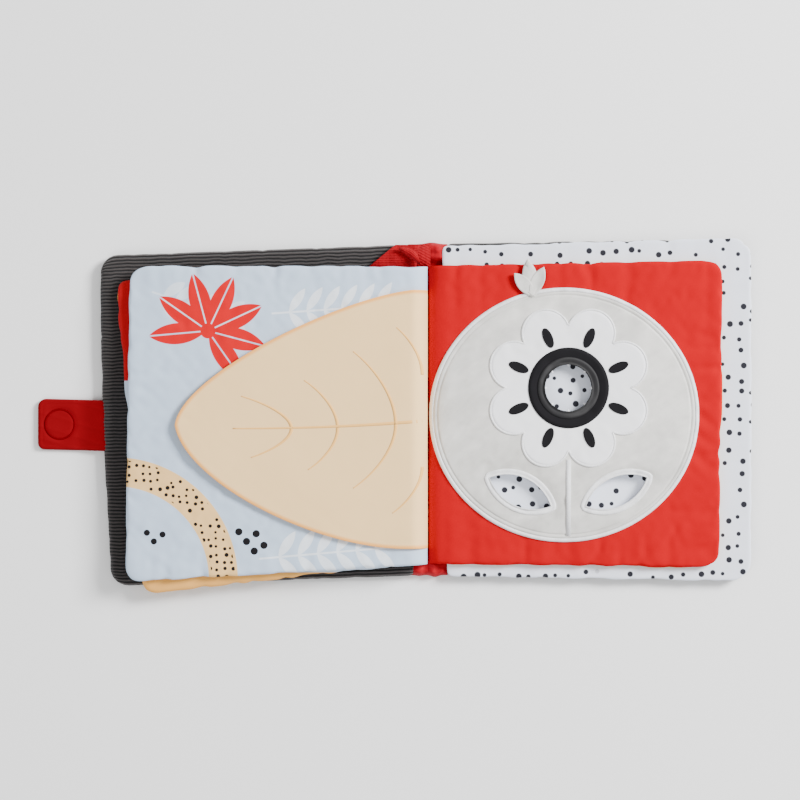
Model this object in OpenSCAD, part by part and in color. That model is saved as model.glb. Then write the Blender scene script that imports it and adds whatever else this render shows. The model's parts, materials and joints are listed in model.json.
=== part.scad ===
// Soft cloth book for a baby, lying open on its back.
// Origin: middle of the spine's underside. +X towards the right-hand page, +Y towards the head.

/* [Covers] */
// Width of a cover from its hinge line to its fore-edge
cover_w = 159; // [120:1:200]
// Height of the covers from tail to head
cover_h = 173; // [165:1:220]
// Thickness of a padded cover
cover_t = 6; // [5:0.5:10]
// Corner radius at the fore-edge
cover_corner_r = 9; // [5:1:16]
// Width of the rounding along a cover's edges
cover_soft = 3.6; // [2:0.2:6]
// Turn of the front cover as it lies
front_turn = 2; // [0:0.5:4]
// Distance from one corduroy rib to the next
rib_pitch = 1.8; // [1.6:0.1:4]
// Depth of the grooves between the ribs
rib_depth = 0.5; // [0.2:0.1:0.8]
// Thickness of the back cover's lining
lining_t = 1.4; // [0.8:0.1:2.5]

/* [Spine] */
// Thickness of the spine panel
spine_t = 1.8; // [1.4:0.1:2]
// Distance from one gather of the spine fabric to the next
gather_pitch = 3.4; // [2.5:0.1:6]
// Height of the gathers
gather_rise = 0.5; // [0.2:0.1:1]
// Spare width of the spine over the closed stack of pages
spine_slack = 1.2; // [1:0.1:6]
// Thickness of a page's unpadded margin at the spine
margin_t = 0.6; // [0.4:0.1:1]

/* [Pages] */
// Width of a page from the spine's middle to its fore-edge
page_w = 156; // [120:1:165]
// Height of a page at the spine
page_h = 155; // [130:1:160]
// Thickness of a padded page
page_t = 4; // [3:0.25:8]
// Corner radius of the pages at the fore-edge
page_corner_r = 7; // [4:1:14]
// Width of the rounding along a page's edges
page_soft = 2; // [1:0.25:3]
// How far the middle of a page stands above its edges
page_crown = 0.4; // [0.2:0.1:1]
// How far the pages sit below the middle of the covers
page_drop = 2.7; // [0:0.1:6]
// How far the upper left page's tail edge falls towards its fore-edge
upper_tail_fall = 9; // [0:0.5:12]
// How far the lower left page's head edge falls towards its fore-edge
lower_head_fall = 7; // [0:0.5:12]
// How far the lower left page's tail edge falls towards its fore-edge
lower_tail_fall = 16; // [4:0.5:18]
// How far the lower left page's fore-edge leans from head to tail
lower_lean = 14; // [0:0.5:18]
// How far the lower left page's head corner stands out past the upper page
lower_reach = 6; // [0:0.5:8]
// How far the window page stops short of the other pages' width
window_page_short = 3.5; // [0:0.5:8]

/* [Puckers] */
// Distance from one pucker along a sewn edge to the next
pucker_pitch = 17; // [12:1:30]
// Depth of the puckers
pucker_depth = 0.5; // [0.1:0.1:1]

/* [Leaf flap] */
// Reach of the flap from the spine's middle to its tip
flap_reach = 131; // [90:1:150]
// Height of the flap where it leaves the spine
flap_root_h = 134; // [100:1:150]
// Thickness of the flap
flap_t = 1.5; // [1:0.1:3]
// How far the flap's tip lies below the middle of the covers
flap_tip_drop = 8; // [0:1:20]
// Width of the printed border and veins
vein_w = 2.4; // [1.2:0.2:4]

/* [Round patch] */
// Width of the round velour patch
patch_w = 134; // [110:1:140]
// Height of the round velour patch
patch_h = 130; // [110:1:140]
// Thickness of the velour
velour_t = 0.7; // [0.4:0.1:1.5]
// Thickness of the cotton field and of the black patches
cotton_t = 0.4; // [0.3:0.1:1]
// Width of the satin stitching around the velour
edge_stitch_w = 2.4; // [1.5:0.1:4]
// Rise of satin stitching over what it is sewn on
stitch_rise = 0.4; // [0.2:0.1:0.8]
// Reach of the flower's petals from its middle
flower_r = 40; // [34:1:44]
// How far the flower sits above the patch's middle
flower_lift = 14; // [10:1:18]
// Number of petals
petals = 8; // [6:1:10]
// Radius of the round window
round_window_r = 12.5; // [8:0.5:14]
// Length of a leaf window
leaf_window_l = 36; // [26:1:40]
// Width of a leaf window
leaf_window_w = 16; // [12:1:18]
// Tilt of the leaf windows
leaf_window_tilt = 25; // [10:1:40]
// Width of the stitched rim around a window
rim_w = 3.6; // [2:0.2:4]

/* [Closing tab and ribbon] */
// Length of the closing tab past the cover
tab_l = 35; // [28:1:60]
// Width of the closing tab
tab_w = 26; // [20:1:40]
// Thickness of the closing tab
tab_t = 1.8; // [1.2:0.1:1.8]
// Radius of the round closing patches
closer_r = 8; // [5:0.5:10]
// Thickness of the closing patches
closer_t = 0.8; // [0.4:0.1:1]
// Distance of the tab's middle below the middle of the covers
tab_drop = 8; // [0:1:40]
// Thickness of one ply of the ribbon
ribbon_t = 0.8; // [0.5:0.1:1.2]
// Width of the ribbon
ribbon_w = 9; // [6:0.5:12]

/* [Print] */
// Thickness given to a printed field
print_t = 0.15; // [0.1:0.05:0.3]
// Distance between the dots of the lining
dot_pitch = 8.6; // [7:0.2:14]
// Mean radius of the lining's dots
dot_r = 1.45; // [0.8:0.05:2]

/* [Hidden] */

// Clear space between layers that lie on each other, and between bodies
lay_gap = 0.3;
// How far a page's padding reaches past its hinge line towards the spine's middle
padding_past_hinge = 3.6;
// How much further out the flap's padding starts, so that it clears the other pages as the book closes
flap_set_back = 2.5;

// Levels, from the table up. The hinge lines run at the covers' inner faces
hinge_z = cover_t;
lower_z = hinge_z + lay_gap;
lower_top = lower_z + page_t;
upper_z = lower_top + print_t + lay_gap;
upper_top = upper_z + page_t;
flap_z = upper_top + print_t + lay_gap;
flap_top = flap_z + flap_t;
left_top = flap_top + print_t;
window_z = hinge_z + print_t + lay_gap;
window_top = window_z + page_t;
velour_top = window_top + velour_t;
petal_top = velour_top + cotton_t;
heart_top = petal_top + cotton_t;
right_top = heart_top + stitch_rise;

// The closed covers stand a stack of pages apart
spine_w = (left_top - hinge_z) + (right_top - hinge_z) + spine_slack;
hinge_x = spine_w / 2;
cover_in = hinge_x + lay_gap;
cover_out = hinge_x + cover_w;
page_in = hinge_x - padding_past_hinge;
flap_in = page_in + flap_set_back;
page_head = page_h / 2 - page_drop;
page_tail = -page_h / 2 - page_drop;

// A cover's edge has a flat of this share of its thickness, where the tab is sewn in
edge_flat = 0.3;
tab_z = cover_t * (1 - edge_flat) / 2;
tab_y = -tab_drop;
closer_from_tip = 11;
closer_x = cover_out + tab_l - closer_from_tip;
cover_closer_x = cover_out - closer_from_tip - closer_r / 2;
// The tab leaves the turned cover further up, so that its patch meets the one on the back cover
tab_up = closer_x * sin(front_turn);
closer_gap = 0.2;

// The patch's own middle, and the flower's and windows' places on it
patch_side_gap = 0.3;
patch_mid = [page_in + patch_side_gap + patch_w / 2, -page_drop];
flower_mid = patch_mid + [0, flower_lift];
leaf_window_side = 25;
leaf_window_low = 40;
petal_at = 0.67;
petal_share = 0.335;
heart_r = 21;

// A pad's top is flat over this share of its outline, and prints stay inside it
field_share = 0.95;

// Fineness of outlines
corner_steps = 5;
run_step = 4.5;

// Plane geometry
function unit(v) = v / norm(v);
function mirrored(pts) = [for (i = [len(pts) - 1 : -1 : 0]) [-pts[i][0], pts[i][1]]];

// Arc that rounds corner c, between its neighbours p and q on an outline that runs anticlockwise
function corner_arc(p, c, q, r) =
    let (
        u = unit(p - c),
        v = unit(q - c),
        half = acos(u * v) / 2,
        mid = c + unit(u + v) * r / sin(half),
        from = c + u * r / tan(half) - mid,
        start = atan2(from[1], from[0]),
        sweep = 180 - 2 * half
    )
    [for (i = [0 : corner_steps])
        mid + r * [cos(start + sweep * i / corner_steps), sin(start + sweep * i / corner_steps)]];

function rounded(corners, radii) = [
    for (i = [0 : len(corners) - 1])
        each corner_arc(corners[(i + len(corners) - 1) % len(corners)], corners[i],
                        corners[(i + 1) % len(corners)], radii[i])
];

// The same outline with points along its straight runs
function divided(pts) = [
    for (i = [0 : len(pts) - 1])
        let (
            a = pts[i],
            b = pts[(i + 1) % len(pts)],
            k = max(1, round(norm(b - a) / run_step))
        )
        for (j = [0 : k - 1]) a + (b - a) * j / k
];

function outward(pts, i) =
    let (n = len(pts), d = pts[(i + 1) % n] - pts[(i + n - 1) % n])
    unit([d[1], -d[0]]);

function grown(pts, by) = [for (i = [0 : len(pts) - 1]) pts[i] + outward(pts, i) * by];

function run_lengths(pts) = [
    for (i = 0, s = 0; i < len(pts); s = s + norm(pts[(i + 1) % len(pts)] - pts[i]), i = i + 1) s
];

// Puckers along an outline, which fade out towards the spine
function puckered(pts, depth, inner) =
    let (
        s = run_lengths(pts),
        total = s[len(s) - 1] + norm(pts[0] - pts[len(pts) - 1]),
        waves = round(total / pucker_pitch),
        fade_run = 20
    )
    [for (i = [0 : len(pts) - 1])
        let (fade = min(1, max(0, (abs(pts[i][0]) - inner - 1) / fade_run)))
        pts[i] + outward(pts, i) * depth * fade * sin(360 * waves * s[i] / total)];

function centre_of(pts) =
    let (lo = [min([for (p = pts) p[0]]), min([for (p = pts) p[1]])],
         hi = [max([for (p = pts) p[0]]), max([for (p = pts) p[1]])])
    (lo + hi) / 2;

function shrunk(pts, share) = let (c = centre_of(pts)) [for (p = pts) c + (p - c) * share];

function oval(rx, ry, steps = 24) = [
    for (i = [0 : steps - 1]) [rx * cos(360 * i / steps), ry * sin(360 * i / steps)]
];

// Pointed leaf shape between two arcs, along X
function leaf_shape(l, w, steps = 8) =
    let (r = (l * l + w * w) / (4 * w), low = r - w / 2)
    [for (side = [1, -1])
        for (i = [0 : steps - 1])
            let (x = side * l / 2 * cos(180 * i / steps))
            [x, side * (sqrt(max(0, r * r - x * x)) - low)]];

// Point at share t of a cubic curve through a and d, pulled towards b and c
function curve(a, b, c, d, t) =
    a * pow(1 - t, 3) + b * 3 * t * pow(1 - t, 2) + c * 3 * t * t * (1 - t) + d * pow(t, 3);

// Outline of a four-sided page or cover, from its inner edge and its two fore-edge corners
function sheet_outline(inner, out_head, out_tail, head_in, tail_in, r, inner_r = 1) =
    rounded([[-inner, head_in], out_head, out_tail, [-inner, tail_in]], [inner_r, r, r, inner_r]);

// A pad's sides bulge by their softness, so its inner corners are rounder than that
page_inner_r = page_soft + 1.4;

lower_outline = sheet_outline(page_in,
    [-(page_w + lower_reach), page_head - lower_head_fall],
    [-(page_w + lower_reach - lower_lean), page_tail - lower_tail_fall],
    page_head - 1, page_tail + 0.5, page_corner_r, page_inner_r);
upper_outline = sheet_outline(page_in, [-page_w, page_head], [-page_w, page_tail - upper_tail_fall],
    page_head, page_tail, page_corner_r, page_inner_r);
lining_soft = 1;
window_rise = 2.8;
window_fall = 1.6;
window_lean = 2;
window_outline = mirrored(sheet_outline(page_in,
    [-(page_w - window_page_short), page_head + window_rise],
    [-(page_w - window_page_short - window_lean), page_tail - window_fall],
    page_head, page_tail, page_corner_r + 1, page_inner_r));
lining_outline = mirrored(sheet_outline(cover_in, [-cover_out, cover_h / 2], [-cover_out, -cover_h / 2],
    cover_h / 2, -cover_h / 2, cover_corner_r, lining_soft + 1.4));

// The flap's two sides are curves from the spine to a round tip
flap_root_drop = 5;
flap_head = [-flap_in, flap_root_h / 2 - flap_root_drop];
flap_tail = [-flap_in, -flap_root_h / 2 - flap_root_drop];
flap_tip = [-flap_reach, -flap_tip_drop];
flap_steps = 22;
function flap_side(from, pull_out, pull_in) = [
    for (i = [0 : flap_steps]) curve(from, from + pull_out, flap_tip + pull_in, flap_tip, i / flap_steps)
];
flap_upper = flap_side(flap_head, [-38, -4], [3, 26]);
flap_lower = flap_side(flap_tail, [-48, -1.5], [5, -30]);
flap_outline = concat(flap_upper, [for (i = [flap_steps - 1 : -1 : 0]) flap_lower[i]]);

// Closed solid through rings of points, each ring at its own height, closed by fans
module lofted(rings, heights) {
    n = len(rings[0]);
    last = len(rings) - 1;
    mid = centre_of(rings[last]);
    points = concat(
        [for (k = [0 : last]) for (p = rings[k]) [p[0], p[1], heights[k]]],
        [[mid[0], mid[1], heights[0]], [mid[0], mid[1], heights[last]]]
    );
    bottom_mid = n * (last + 1);
    top_mid = bottom_mid + 1;
    sides = [
        for (k = [0 : last - 1]) for (i = [0 : n - 1])
            let (a = k * n + i, b = k * n + (i + 1) % n)
            each [[a, a + n, b + n], [a, b + n, b]]
    ];
    bottom = [for (i = [0 : n - 1]) [bottom_mid, i, (i + 1) % n]];
    top = [for (i = [0 : n - 1]) [top_mid, last * n + (i + 1) % n, last * n + i]];
    polyhedron(points, concat(sides, bottom, top));
}

// Sewn pad: its sides bulge, its top rises a little to a flat field, and its edge is puckered
module pad(outline, thick, soft, crown, inner) {
    side_angles = [-90, -30, 30, 90];
    widest = cos(30);
    rings = [
        for (a = side_angles)
            puckered(grown(outline, soft * (cos(a) - widest) / widest), pucker_depth * cos(a / 2), inner)
    ];
    heights = [for (a = side_angles) (thick - crown) * (1 + sin(a)) / 2];
    lofted(concat(rings, [shrunk(outline, field_share)]), concat(heights, [thick]));
}

module plate(pts, thick) {
    linear_extrude(thick) polygon(pts);
}

// Corduroy
// Share of the half thickness that a cover has at distance d from its edge
function edge_share(d) =
    let (u = (cover_soft - min(d, cover_soft)) / cover_soft)
    max(edge_flat, sqrt(max(0, 1 - u * u)));

// Section across the ribs, which run out from the spine
module rib_section(thick, ribs_on_top) {
    steps = 2 * round(cover_h / rib_pitch);
    function y(i) = -cover_h / 2 + cover_h * i / steps;
    function half(i) = thick / 2 * edge_share(cover_h / 2 - abs(y(i)));
    function groove(i) = i % 2 * rib_depth;
    polygon(concat(
        [for (i = [0 : steps]) [y(i), thick / 2 - half(i) + groove(i)]],
        [for (i = [steps : -1 : 0]) [y(i), thick / 2 + half(i) - (ribs_on_top ? groove(i) : 0)]]
    ));
}

// Section from the spine out to the rounded fore-edge
module fore_edge_section(thick) {
    function at(d, side) = [-cover_out + d, thick / 2 * (1 + side * edge_share(d))];
    steps = [0, 0.25, 1];
    polygon(concat(
        [for (s = steps) at(s * cover_soft, -1)],
        [[0, 0], [0, thick]],
        [for (i = [len(steps) - 1 : -1 : 0]) at(steps[i] * cover_soft, 1)]
    ));
}

module corduroy_cover(thick, turn, ribs_on_top) {
    plan = sheet_outline(0, [-cover_out, cover_h / 2], [-cover_out, -cover_h / 2],
                         cover_h / 2, -cover_h / 2, cover_corner_r);
    intersection() {
        rotate([0, 0, turn]) intersection() {
            translate([-cover_out - 1, 0, 0]) rotate([90, 0, 90])
                linear_extrude(cover_out) rib_section(thick, ribs_on_top);
            translate([0, cover_h / 2, 0]) rotate([90, 0, 0])
                linear_extrude(cover_h) fore_edge_section(thick);
            plate(plan, thick);
        }
        translate([-2 * cover_out, -cover_h, -1]) cube([2 * cover_out - cover_in, 2 * cover_h, thick + 2]);
    }
}

module front_cover() {
    color("#3d3b3d") corduroy_cover(cover_t, front_turn, true);
}

module back_cover() {
    color("#3d3b3d") difference() {
        mirror([1, 0, 0]) corduroy_cover(cover_t - lining_t, 0, false);
        translate([cover_closer_x, tab_y, -1])
            cylinder(h = closer_t + 1, r = closer_r + closer_gap, $fn = 64);
    }
}

module cover_closer() {
    color("#2a282a")
        translate([cover_closer_x, tab_y, 0])
            cylinder(h = closer_t, r = closer_r, $fn = 64);
}

module back_lining() {
    color("#eef0f6")
        translate([0, 0, cover_t - lining_t])
            pad(divided(lining_outline), lining_t, lining_soft, 0.2, cover_in);
}

// Dots lie in a scattered grid, wherever the lining shows past the page or through its windows
function scatter(i, j, k) = let (s = sin(i * 127.1 + j * 311.7 + k * 74.7) * 43758.5) s - floor(s);

module lining_dots() {
    margin = 4;
    columns = ceil(cover_w / dot_pitch);
    rows = ceil(cover_h / dot_pitch);
    function spot(i, j) = [
        cover_in + margin + (i + 0.5 * (j % 2) + 0.5 * scatter(i, j, 1)) * dot_pitch,
        -cover_h / 2 + margin + (j + 0.5 * scatter(i, j, 2)) * dot_pitch
    ];
    function on_lining(p) = p[0] < cover_out - margin && p[1] < cover_h / 2 - margin;
    function past_page(p) = p[0] > page_w - window_page_short - margin
        || p[1] > page_head - 1 || p[1] < page_tail + 1;
    function under_window(p) = norm(p - flower_mid) < round_window_r + dot_r
        || min([for (s = [-1, 1]) norm(p - leaf_window_at(s))]) < leaf_window_l / 2;
    color("#28282f") translate([0, 0, cover_t])
        for (i = [0 : columns], j = [0 : rows])
            if (on_lining(spot(i, j)) && (past_page(spot(i, j)) || under_window(spot(i, j))))
                translate(spot(i, j))
                    cylinder(h = print_t, r = dot_r * (0.75 + 0.5 * scatter(i, j, 3)), $fn = 6);
}

// Spine
module spine_panel() {
    half = hinge_x - lay_gap;
    steps = 8 * round(2 * half / gather_pitch);
    function x(i) = half - 2 * half * i / steps;
    function top(i) = spine_t - gather_rise / 2 * (1 - cos(360 * (x(i) + half) / gather_pitch));
    color("#cc2030") intersection() {
        translate([0, cover_h / 2, 0]) rotate([90, 0, 0]) linear_extrude(cover_h)
            polygon(concat([[-half, 0], [half, 0]], [for (i = [0 : steps]) [x(i), top(i)]]));
        plate(rounded([[-half, -cover_h / 2], [half, -cover_h / 2], [half, cover_h / 2], [-half, cover_h / 2]],
                      [3, 3, 3, 3]), spine_t + 1);
    }
}

// Unpadded margins lie on each other at the spine's middle, where they are sewn through
margin_half = 1.6;
margin_lift = 0.1;
function margin_level(i) = spine_t + margin_lift + margin_t * i;

// A margin rises to the padding's edge; where the padding starts further out, it lies on the page below
module page_margin(side, level, z, thick, head, tail, inner = page_in) {
    turn_up = page_in - lay_gap;
    thin = min(0.4, thick / 5);
    low = margin_level(level);
    lie = inner > page_in ? [[inner - lay_gap, z + thin], [inner - lay_gap, z + thick - thin]] : [];
    section = concat([[-margin_half, low], [margin_half, low], [turn_up, z + thin]], lie,
        [[turn_up, z + thick - thin], [margin_half, low + margin_t], [-margin_half, low + margin_t]]);
    translate([0, head, 0]) rotate([90, 0, 0]) linear_extrude(head - tail)
        polygon([for (p = section) [side * p[0], p[1]]]);
}

module lower_page_margin() {
    color("#d9e0ea") page_margin(-1, 0, lower_z, page_t, page_head - 1, page_tail + 0.5);
}

module window_page_margin() {
    color("#df3133") page_margin(1, 1, window_z, page_t, page_head, page_tail);
}

module upper_page_margin() {
    color("#d9e0ea") page_margin(-1, 2, upper_z, page_t, page_head, page_tail);
}

module flap_margin() {
    color("#fdecd7") page_margin(-1, 3, flap_z, flap_t, flap_head[1], flap_tail[1], flap_in);
}

module spine_stitching() {
    stitch_l = 3;
    stitch_w = 0.6;
    stitch_pitch = 5;
    run = flap_head[1] - flap_tail[1] - stitch_pitch;
    count = floor(run / stitch_pitch);
    color("#b01824")
        for (i = [0 : count - 1])
            translate([-stitch_w / 2, flap_tail[1] + stitch_pitch * (i + 0.7), margin_level(4)])
                cube([stitch_w, stitch_l, 0.3]);
}

// Ribbon: a loop that is sewn to the spine's head and lies folded on the front cover
ribbon_foot = page_head + 0.4;
ribbon_head = ribbon_foot + 10;

module ribbon_end() {
    ridges = 5;
    ridge_w = (page_in + 0.5) / (2 * ridges);
    color("#c81830") {
        translate([-page_in, ribbon_foot, spine_t]) cube([page_in + 0.5, ribbon_head - ribbon_foot + 1, ribbon_t]);
        for (i = [0 : ridges - 1])
            translate([-page_in + ridge_w * (2 * i + 0.5), ribbon_foot, spine_t + ribbon_t])
                cube([ridge_w, ribbon_head - ribbon_foot + 1, 0.3]);
    }
}

module ribbon_loop() {
    lie = tan(48);
    run = ribbon_head - ribbon_foot;
    fold = -hinge_x - 6;
    foot_shift = run / lie;
    color("#c81830") translate([0, ribbon_foot, lower_z]) {
        plate([[-cover_in, 0], [-cover_in, run + 0.6], [fold - 2, run], [fold - foot_shift, 0]], ribbon_t);
        translate([0, 0, ribbon_t])
            plate([[fold, run], [fold - ribbon_w / 2, run], [fold - ribbon_w / 2 - foot_shift * 1.2, 0],
                   [fold - foot_shift + ribbon_w * 0.2, 0]], ribbon_t);
    }
}

// Closing tab: leaves the fore-edge at half height and droops to the table
module tab_section() {
    steps = 8;
    droop_run = closer_x - cover_out - closer_r - lay_gap;
    function drop(x) = let (t = min(1, x / droop_run)) tab_z * t * t * (3 - 2 * t);
    xs = concat([for (i = [0 : steps]) droop_run * i / steps], [tab_l]);
    polygon(concat(
        [for (x = xs) [-cover_out - x, tab_z - drop(x) + tab_t]],
        [for (i = [len(xs) - 1 : -1 : 0]) [-cover_out - xs[i], tab_z - drop(xs[i])]]
    ));
}

module closing_tab() {
    cut = 6;
    tip = -cover_out - tab_l;
    plan = rounded([[-cover_out, tab_w / 2], [tip + cut, tab_w / 2], [tip, tab_w / 2 - cut],
                    [tip, -tab_w / 2], [-cover_out, -tab_w / 2]], [0.1, 2, 2, 4, 0.1]);
    color("#930212") rotate([0, 0, front_turn]) translate([0, tab_y + tab_up, 0]) difference() {
        intersection() {
            translate([0, tab_w, 0]) rotate([90, 0, 0]) linear_extrude(2 * tab_w) tab_section();
            plate(plan, cover_t);
        }
        translate([-closer_x, 0, -1]) cylinder(h = closer_t + 1, r = closer_r + closer_gap, $fn = 64);
    }
}

module tab_closer() {
    color("#7a0210") rotate([0, 0, front_turn]) translate([-closer_x, tab_y + tab_up, 0])
        cylinder(h = closer_t, r = closer_r, $fn = 64);
}

module tab_stitching() {
    thread = 0.7;
    color("#6e0210") rotate([0, 0, front_turn]) translate([-closer_x, tab_y + tab_up, tab_t])
        linear_extrude(0.25) difference() {
            circle(r = closer_r, $fn = 64);
            circle(r = closer_r - thread, $fn = 64);
        }
}

// Left-hand pages
module lower_left_page() {
    color("#ccd6e2") translate([0, 0, lower_z])
        pad(divided(lower_outline), page_t, page_soft, page_crown, page_in);
}

// The lower page's own print, of which only the edges show
module lower_page_red_print() {
    field = shrunk(lower_outline, field_share);
    edge = min([for (p = field) p[0]]);
    color("#9e1722") translate([0, 0, lower_top]) linear_extrude(print_t) intersection() {
        polygon(field);
        translate([edge, page_head - page_h * 0.42]) square([28, page_h * 0.42]);
    }
}

module lower_page_tan_print() {
    field = shrunk(lower_outline, field_share);
    foot = min([for (p = field) p[1]]);
    color("#e5b785") translate([0, 0, lower_top]) linear_extrude(print_t) intersection() {
        polygon(field);
        translate([-cover_out, foot]) square([cover_w, 26]);
    }
}

module upper_left_page() {
    color("#dee5ec") translate([0, 0, upper_z])
        pad(divided(upper_outline), page_t, page_soft, page_crown, page_in);
}

// Leaf with seven leaflets spread like fingers
module finger_leaf(l, w) {
    for (i = [-3 : 3])
        let (reach = l * (1 - 0.06 * abs(i)))
        rotate(i * 40) translate([reach / 2 + 2, 0]) polygon(leaf_shape(reach, w));
    circle(r = w * 0.42, $fn = 24);
    translate([-l * 0.45, -1]) square([l * 0.45, 2]);
}

module red_leaf_print() {
    color("#f7423f") translate([-page_w + 42, page_head - 34, upper_top])
        linear_extrude(print_t) rotate(65) finger_leaf(30, 11);
}

// Spray of leaflets in pairs along a stem
module spray(pairs, spacing, leaflet_l, leaflet_w) {
    translate([0, -0.6]) square([pairs * spacing + leaflet_l * 0.6, 1.2]);
    for (i = [1 : pairs], side = [-1, 1])
        translate([i * spacing, 0]) rotate(side * 52) translate([leaflet_l / 2 + 0.2, 0])
            polygon(leaf_shape(leaflet_l, leaflet_w, 5));
}

module white_spray_prints() {
    color("#f4f6fa") translate([0, 0, upper_top]) linear_extrude(print_t) {
        translate([-page_w * 0.52, page_head - 25]) rotate(4) spray(6, 9, 15, 4.5);
        translate([-page_w * 0.56, page_tail + 3]) rotate(5) spray(6, 10, 16, 5);
    }
}

// Tan band that curves across the lower corner
band_mid = [-page_w - 6, page_tail - 8];
band_r = 56;
band_w = 15;

module upper_field() {
    polygon(shrunk(upper_outline, field_share));
}

module tan_band_print() {
    color("#f0cfa0") translate([0, 0, upper_top]) linear_extrude(print_t) intersection() {
        upper_field();
        translate(band_mid) difference() {
            circle(r = band_r + band_w / 2, $fn = 96);
            circle(r = band_r - band_w / 2, $fn = 96);
        }
    }
}

// Berries beside the band
module black_dot_prints() {
    berries = [[0, 0], [5, 4], [-4, 5], [9, -2], [4, -5]];
    color("#141315") translate([0, 0, upper_top]) {
        translate([-page_w + 62, page_tail + 12])
            for (p = berries) translate(p) cylinder(h = print_t, r = 1.9, $fn = 12);
        translate([-page_w + 14, page_tail + 12])
            for (p = berries) translate(p * 0.9) cylinder(h = print_t, r = 1.6, $fn = 12);
    }
}

// Leaf flap
module leaf_flap() {
    soft = 0.7;
    color("#fdecd7") translate([0, 0, flap_z])
        lofted([grown(flap_outline, -soft), flap_outline, grown(flap_outline, -soft)],
               [0, flap_t / 2, flap_t]);
}

module flap_veins() {
    inset = 1;
    border_out = grown(flap_outline, -inset);
    border_in = grown(flap_outline, -inset - vein_w);
    starts = [0.32, 0.52, 0.72, 0.92];
    spread = 42;
    color("#f8d8a8") translate([0, 0, flap_top]) linear_extrude(print_t) {
        difference() {
            polygon(border_out);
            polygon(border_in);
        }
        translate([flap_tip[0] + 28, flap_tip[1] - 0.5]) square([flap_reach - 28 - flap_in - 1, 1]);
        for (s = starts, side = [-1, 1])
            let (reach = flap_reach * (1 - s) * 0.25 + 20)
            translate([-flap_in - 4 - flap_reach * (1 - s) * 0.85, flap_tip[1]])
                rotate(180 - side * spread) translate([reach / 2, 0])
                    polygon(leaf_shape(reach, vein_w * 0.8, 5));
    }
}

// Right-hand page and its windows
function leaf_window_at(side) = patch_mid + [side * leaf_window_side, -leaf_window_low];

module leaf_windows(grow = 0) {
    for (side = [-1, 1])
        translate(leaf_window_at(side)) rotate(side * leaf_window_tilt)
            polygon(leaf_shape(leaf_window_l + 2 * grow, leaf_window_w + 1.4 * grow));
}

module round_window(grow = 0) {
    translate(flower_mid) circle(r = round_window_r + grow, $fn = 96);
}

module window_page() {
    color("#ee3a3a") difference() {
        translate([0, 0, window_z]) pad(divided(window_outline), page_t, page_soft, page_crown, page_in);
        translate([0, 0, window_z - 1]) linear_extrude(page_t + 2) {
            round_window();
            leaf_windows();
        }
    }
}

module velour_patch() {
    color("#e1e0de") translate([0, 0, window_top]) linear_extrude(velour_t) difference() {
        translate(patch_mid) polygon(oval(patch_w / 2 - edge_stitch_w, patch_h / 2 - edge_stitch_w, 64));
        round_window();
        leaf_windows();
    }
}

module patch_edge_stitching() {
    color("#f4f4f6") translate([patch_mid[0], patch_mid[1], window_top])
        linear_extrude(velour_t + stitch_rise) difference() {
            polygon(oval(patch_w / 2, patch_h / 2, 64));
            polygon(oval(patch_w / 2 - edge_stitch_w, patch_h / 2 - edge_stitch_w, 64));
        }
}

module flower_petals() {
    color("#f6f7fa") translate([0, 0, velour_top]) linear_extrude(cotton_t) difference() {
        translate(flower_mid) {
            circle(r = flower_r * petal_at, $fn = 64);
            for (i = [0 : petals - 1])
                rotate((i + 0.5) * 360 / petals) translate([flower_r * petal_at, 0])
                    circle(r = flower_r * petal_share, $fn = 64);
        }
        round_window();
    }
}

module flower_heart() {
    color("#141315") translate([0, 0, petal_top]) linear_extrude(cotton_t) difference() {
        translate(flower_mid) circle(r = heart_r, $fn = 96);
        round_window();
    }
}

module petal_marks() {
    mark_l = 11;
    mark_w = 5;
    color("#141315") translate([flower_mid[0], flower_mid[1], petal_top]) linear_extrude(cotton_t)
        for (i = [0 : petals - 1])
            rotate((i + 0.5) * 360 / petals) translate([heart_r + 1.5 + mark_l / 2, 0])
                polygon(oval(mark_l / 2, mark_w / 2, 16));
}

module flower_stem() {
    stem_w = 2.4;
    top = flower_lift - 0.88 * flower_r;
    bottom = -patch_h / 2 + edge_stitch_w + 0.5;
    color("#f4f4f6") translate([patch_mid[0] - stem_w / 2, patch_mid[1] + bottom, velour_top])
        cube([stem_w, top - bottom, stitch_rise]);
}

module round_window_rim() {
    color("#18171a") translate([0, 0, heart_top]) linear_extrude(stitch_rise) difference() {
        round_window(rim_w);
        round_window();
    }
}

module leaf_window_rims() {
    color("#f4f4f6") translate([0, 0, velour_top]) linear_extrude(stitch_rise) difference() {
        leaf_windows(rim_w * 0.7);
        leaf_windows();
    }
}

// Three loose leaflets that stand up from the patch's head edge
module velour_sprig() {
    lean = 104;
    base = patch_mid + [(patch_w / 2 + 0.5) * cos(lean), (patch_h / 2 + 0.5) * sin(lean)];
    color("#dcdbd9") translate([base[0], base[1], window_top]) linear_extrude(velour_t)
        for (a = [66, 98, 132])
            rotate(a) translate([8.4, 0]) polygon(leaf_shape(16, 7, 6));
}

spine_panel();
ribbon_end();
lower_page_margin();
window_page_margin();
upper_page_margin();
flap_margin();
spine_stitching();
front_cover();
ribbon_loop();
closing_tab();
tab_closer();
tab_stitching();
lower_left_page();
lower_page_red_print();
lower_page_tan_print();
upper_left_page();
red_leaf_print();
white_spray_prints();
tan_band_print();
black_dot_prints();
leaf_flap();
flap_veins();
back_cover();
cover_closer();
back_lining();
lining_dots();
window_page();
velour_patch();
patch_edge_stitching();
flower_petals();
flower_heart();
petal_marks();
flower_stem();
round_window_rim();
leaf_window_rims();
velour_sprig();
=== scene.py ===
import json
import math

import bmesh
import bpy
from mathutils import Matrix, Vector, noise
from mathutils.bvhtree import BVHTree


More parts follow.
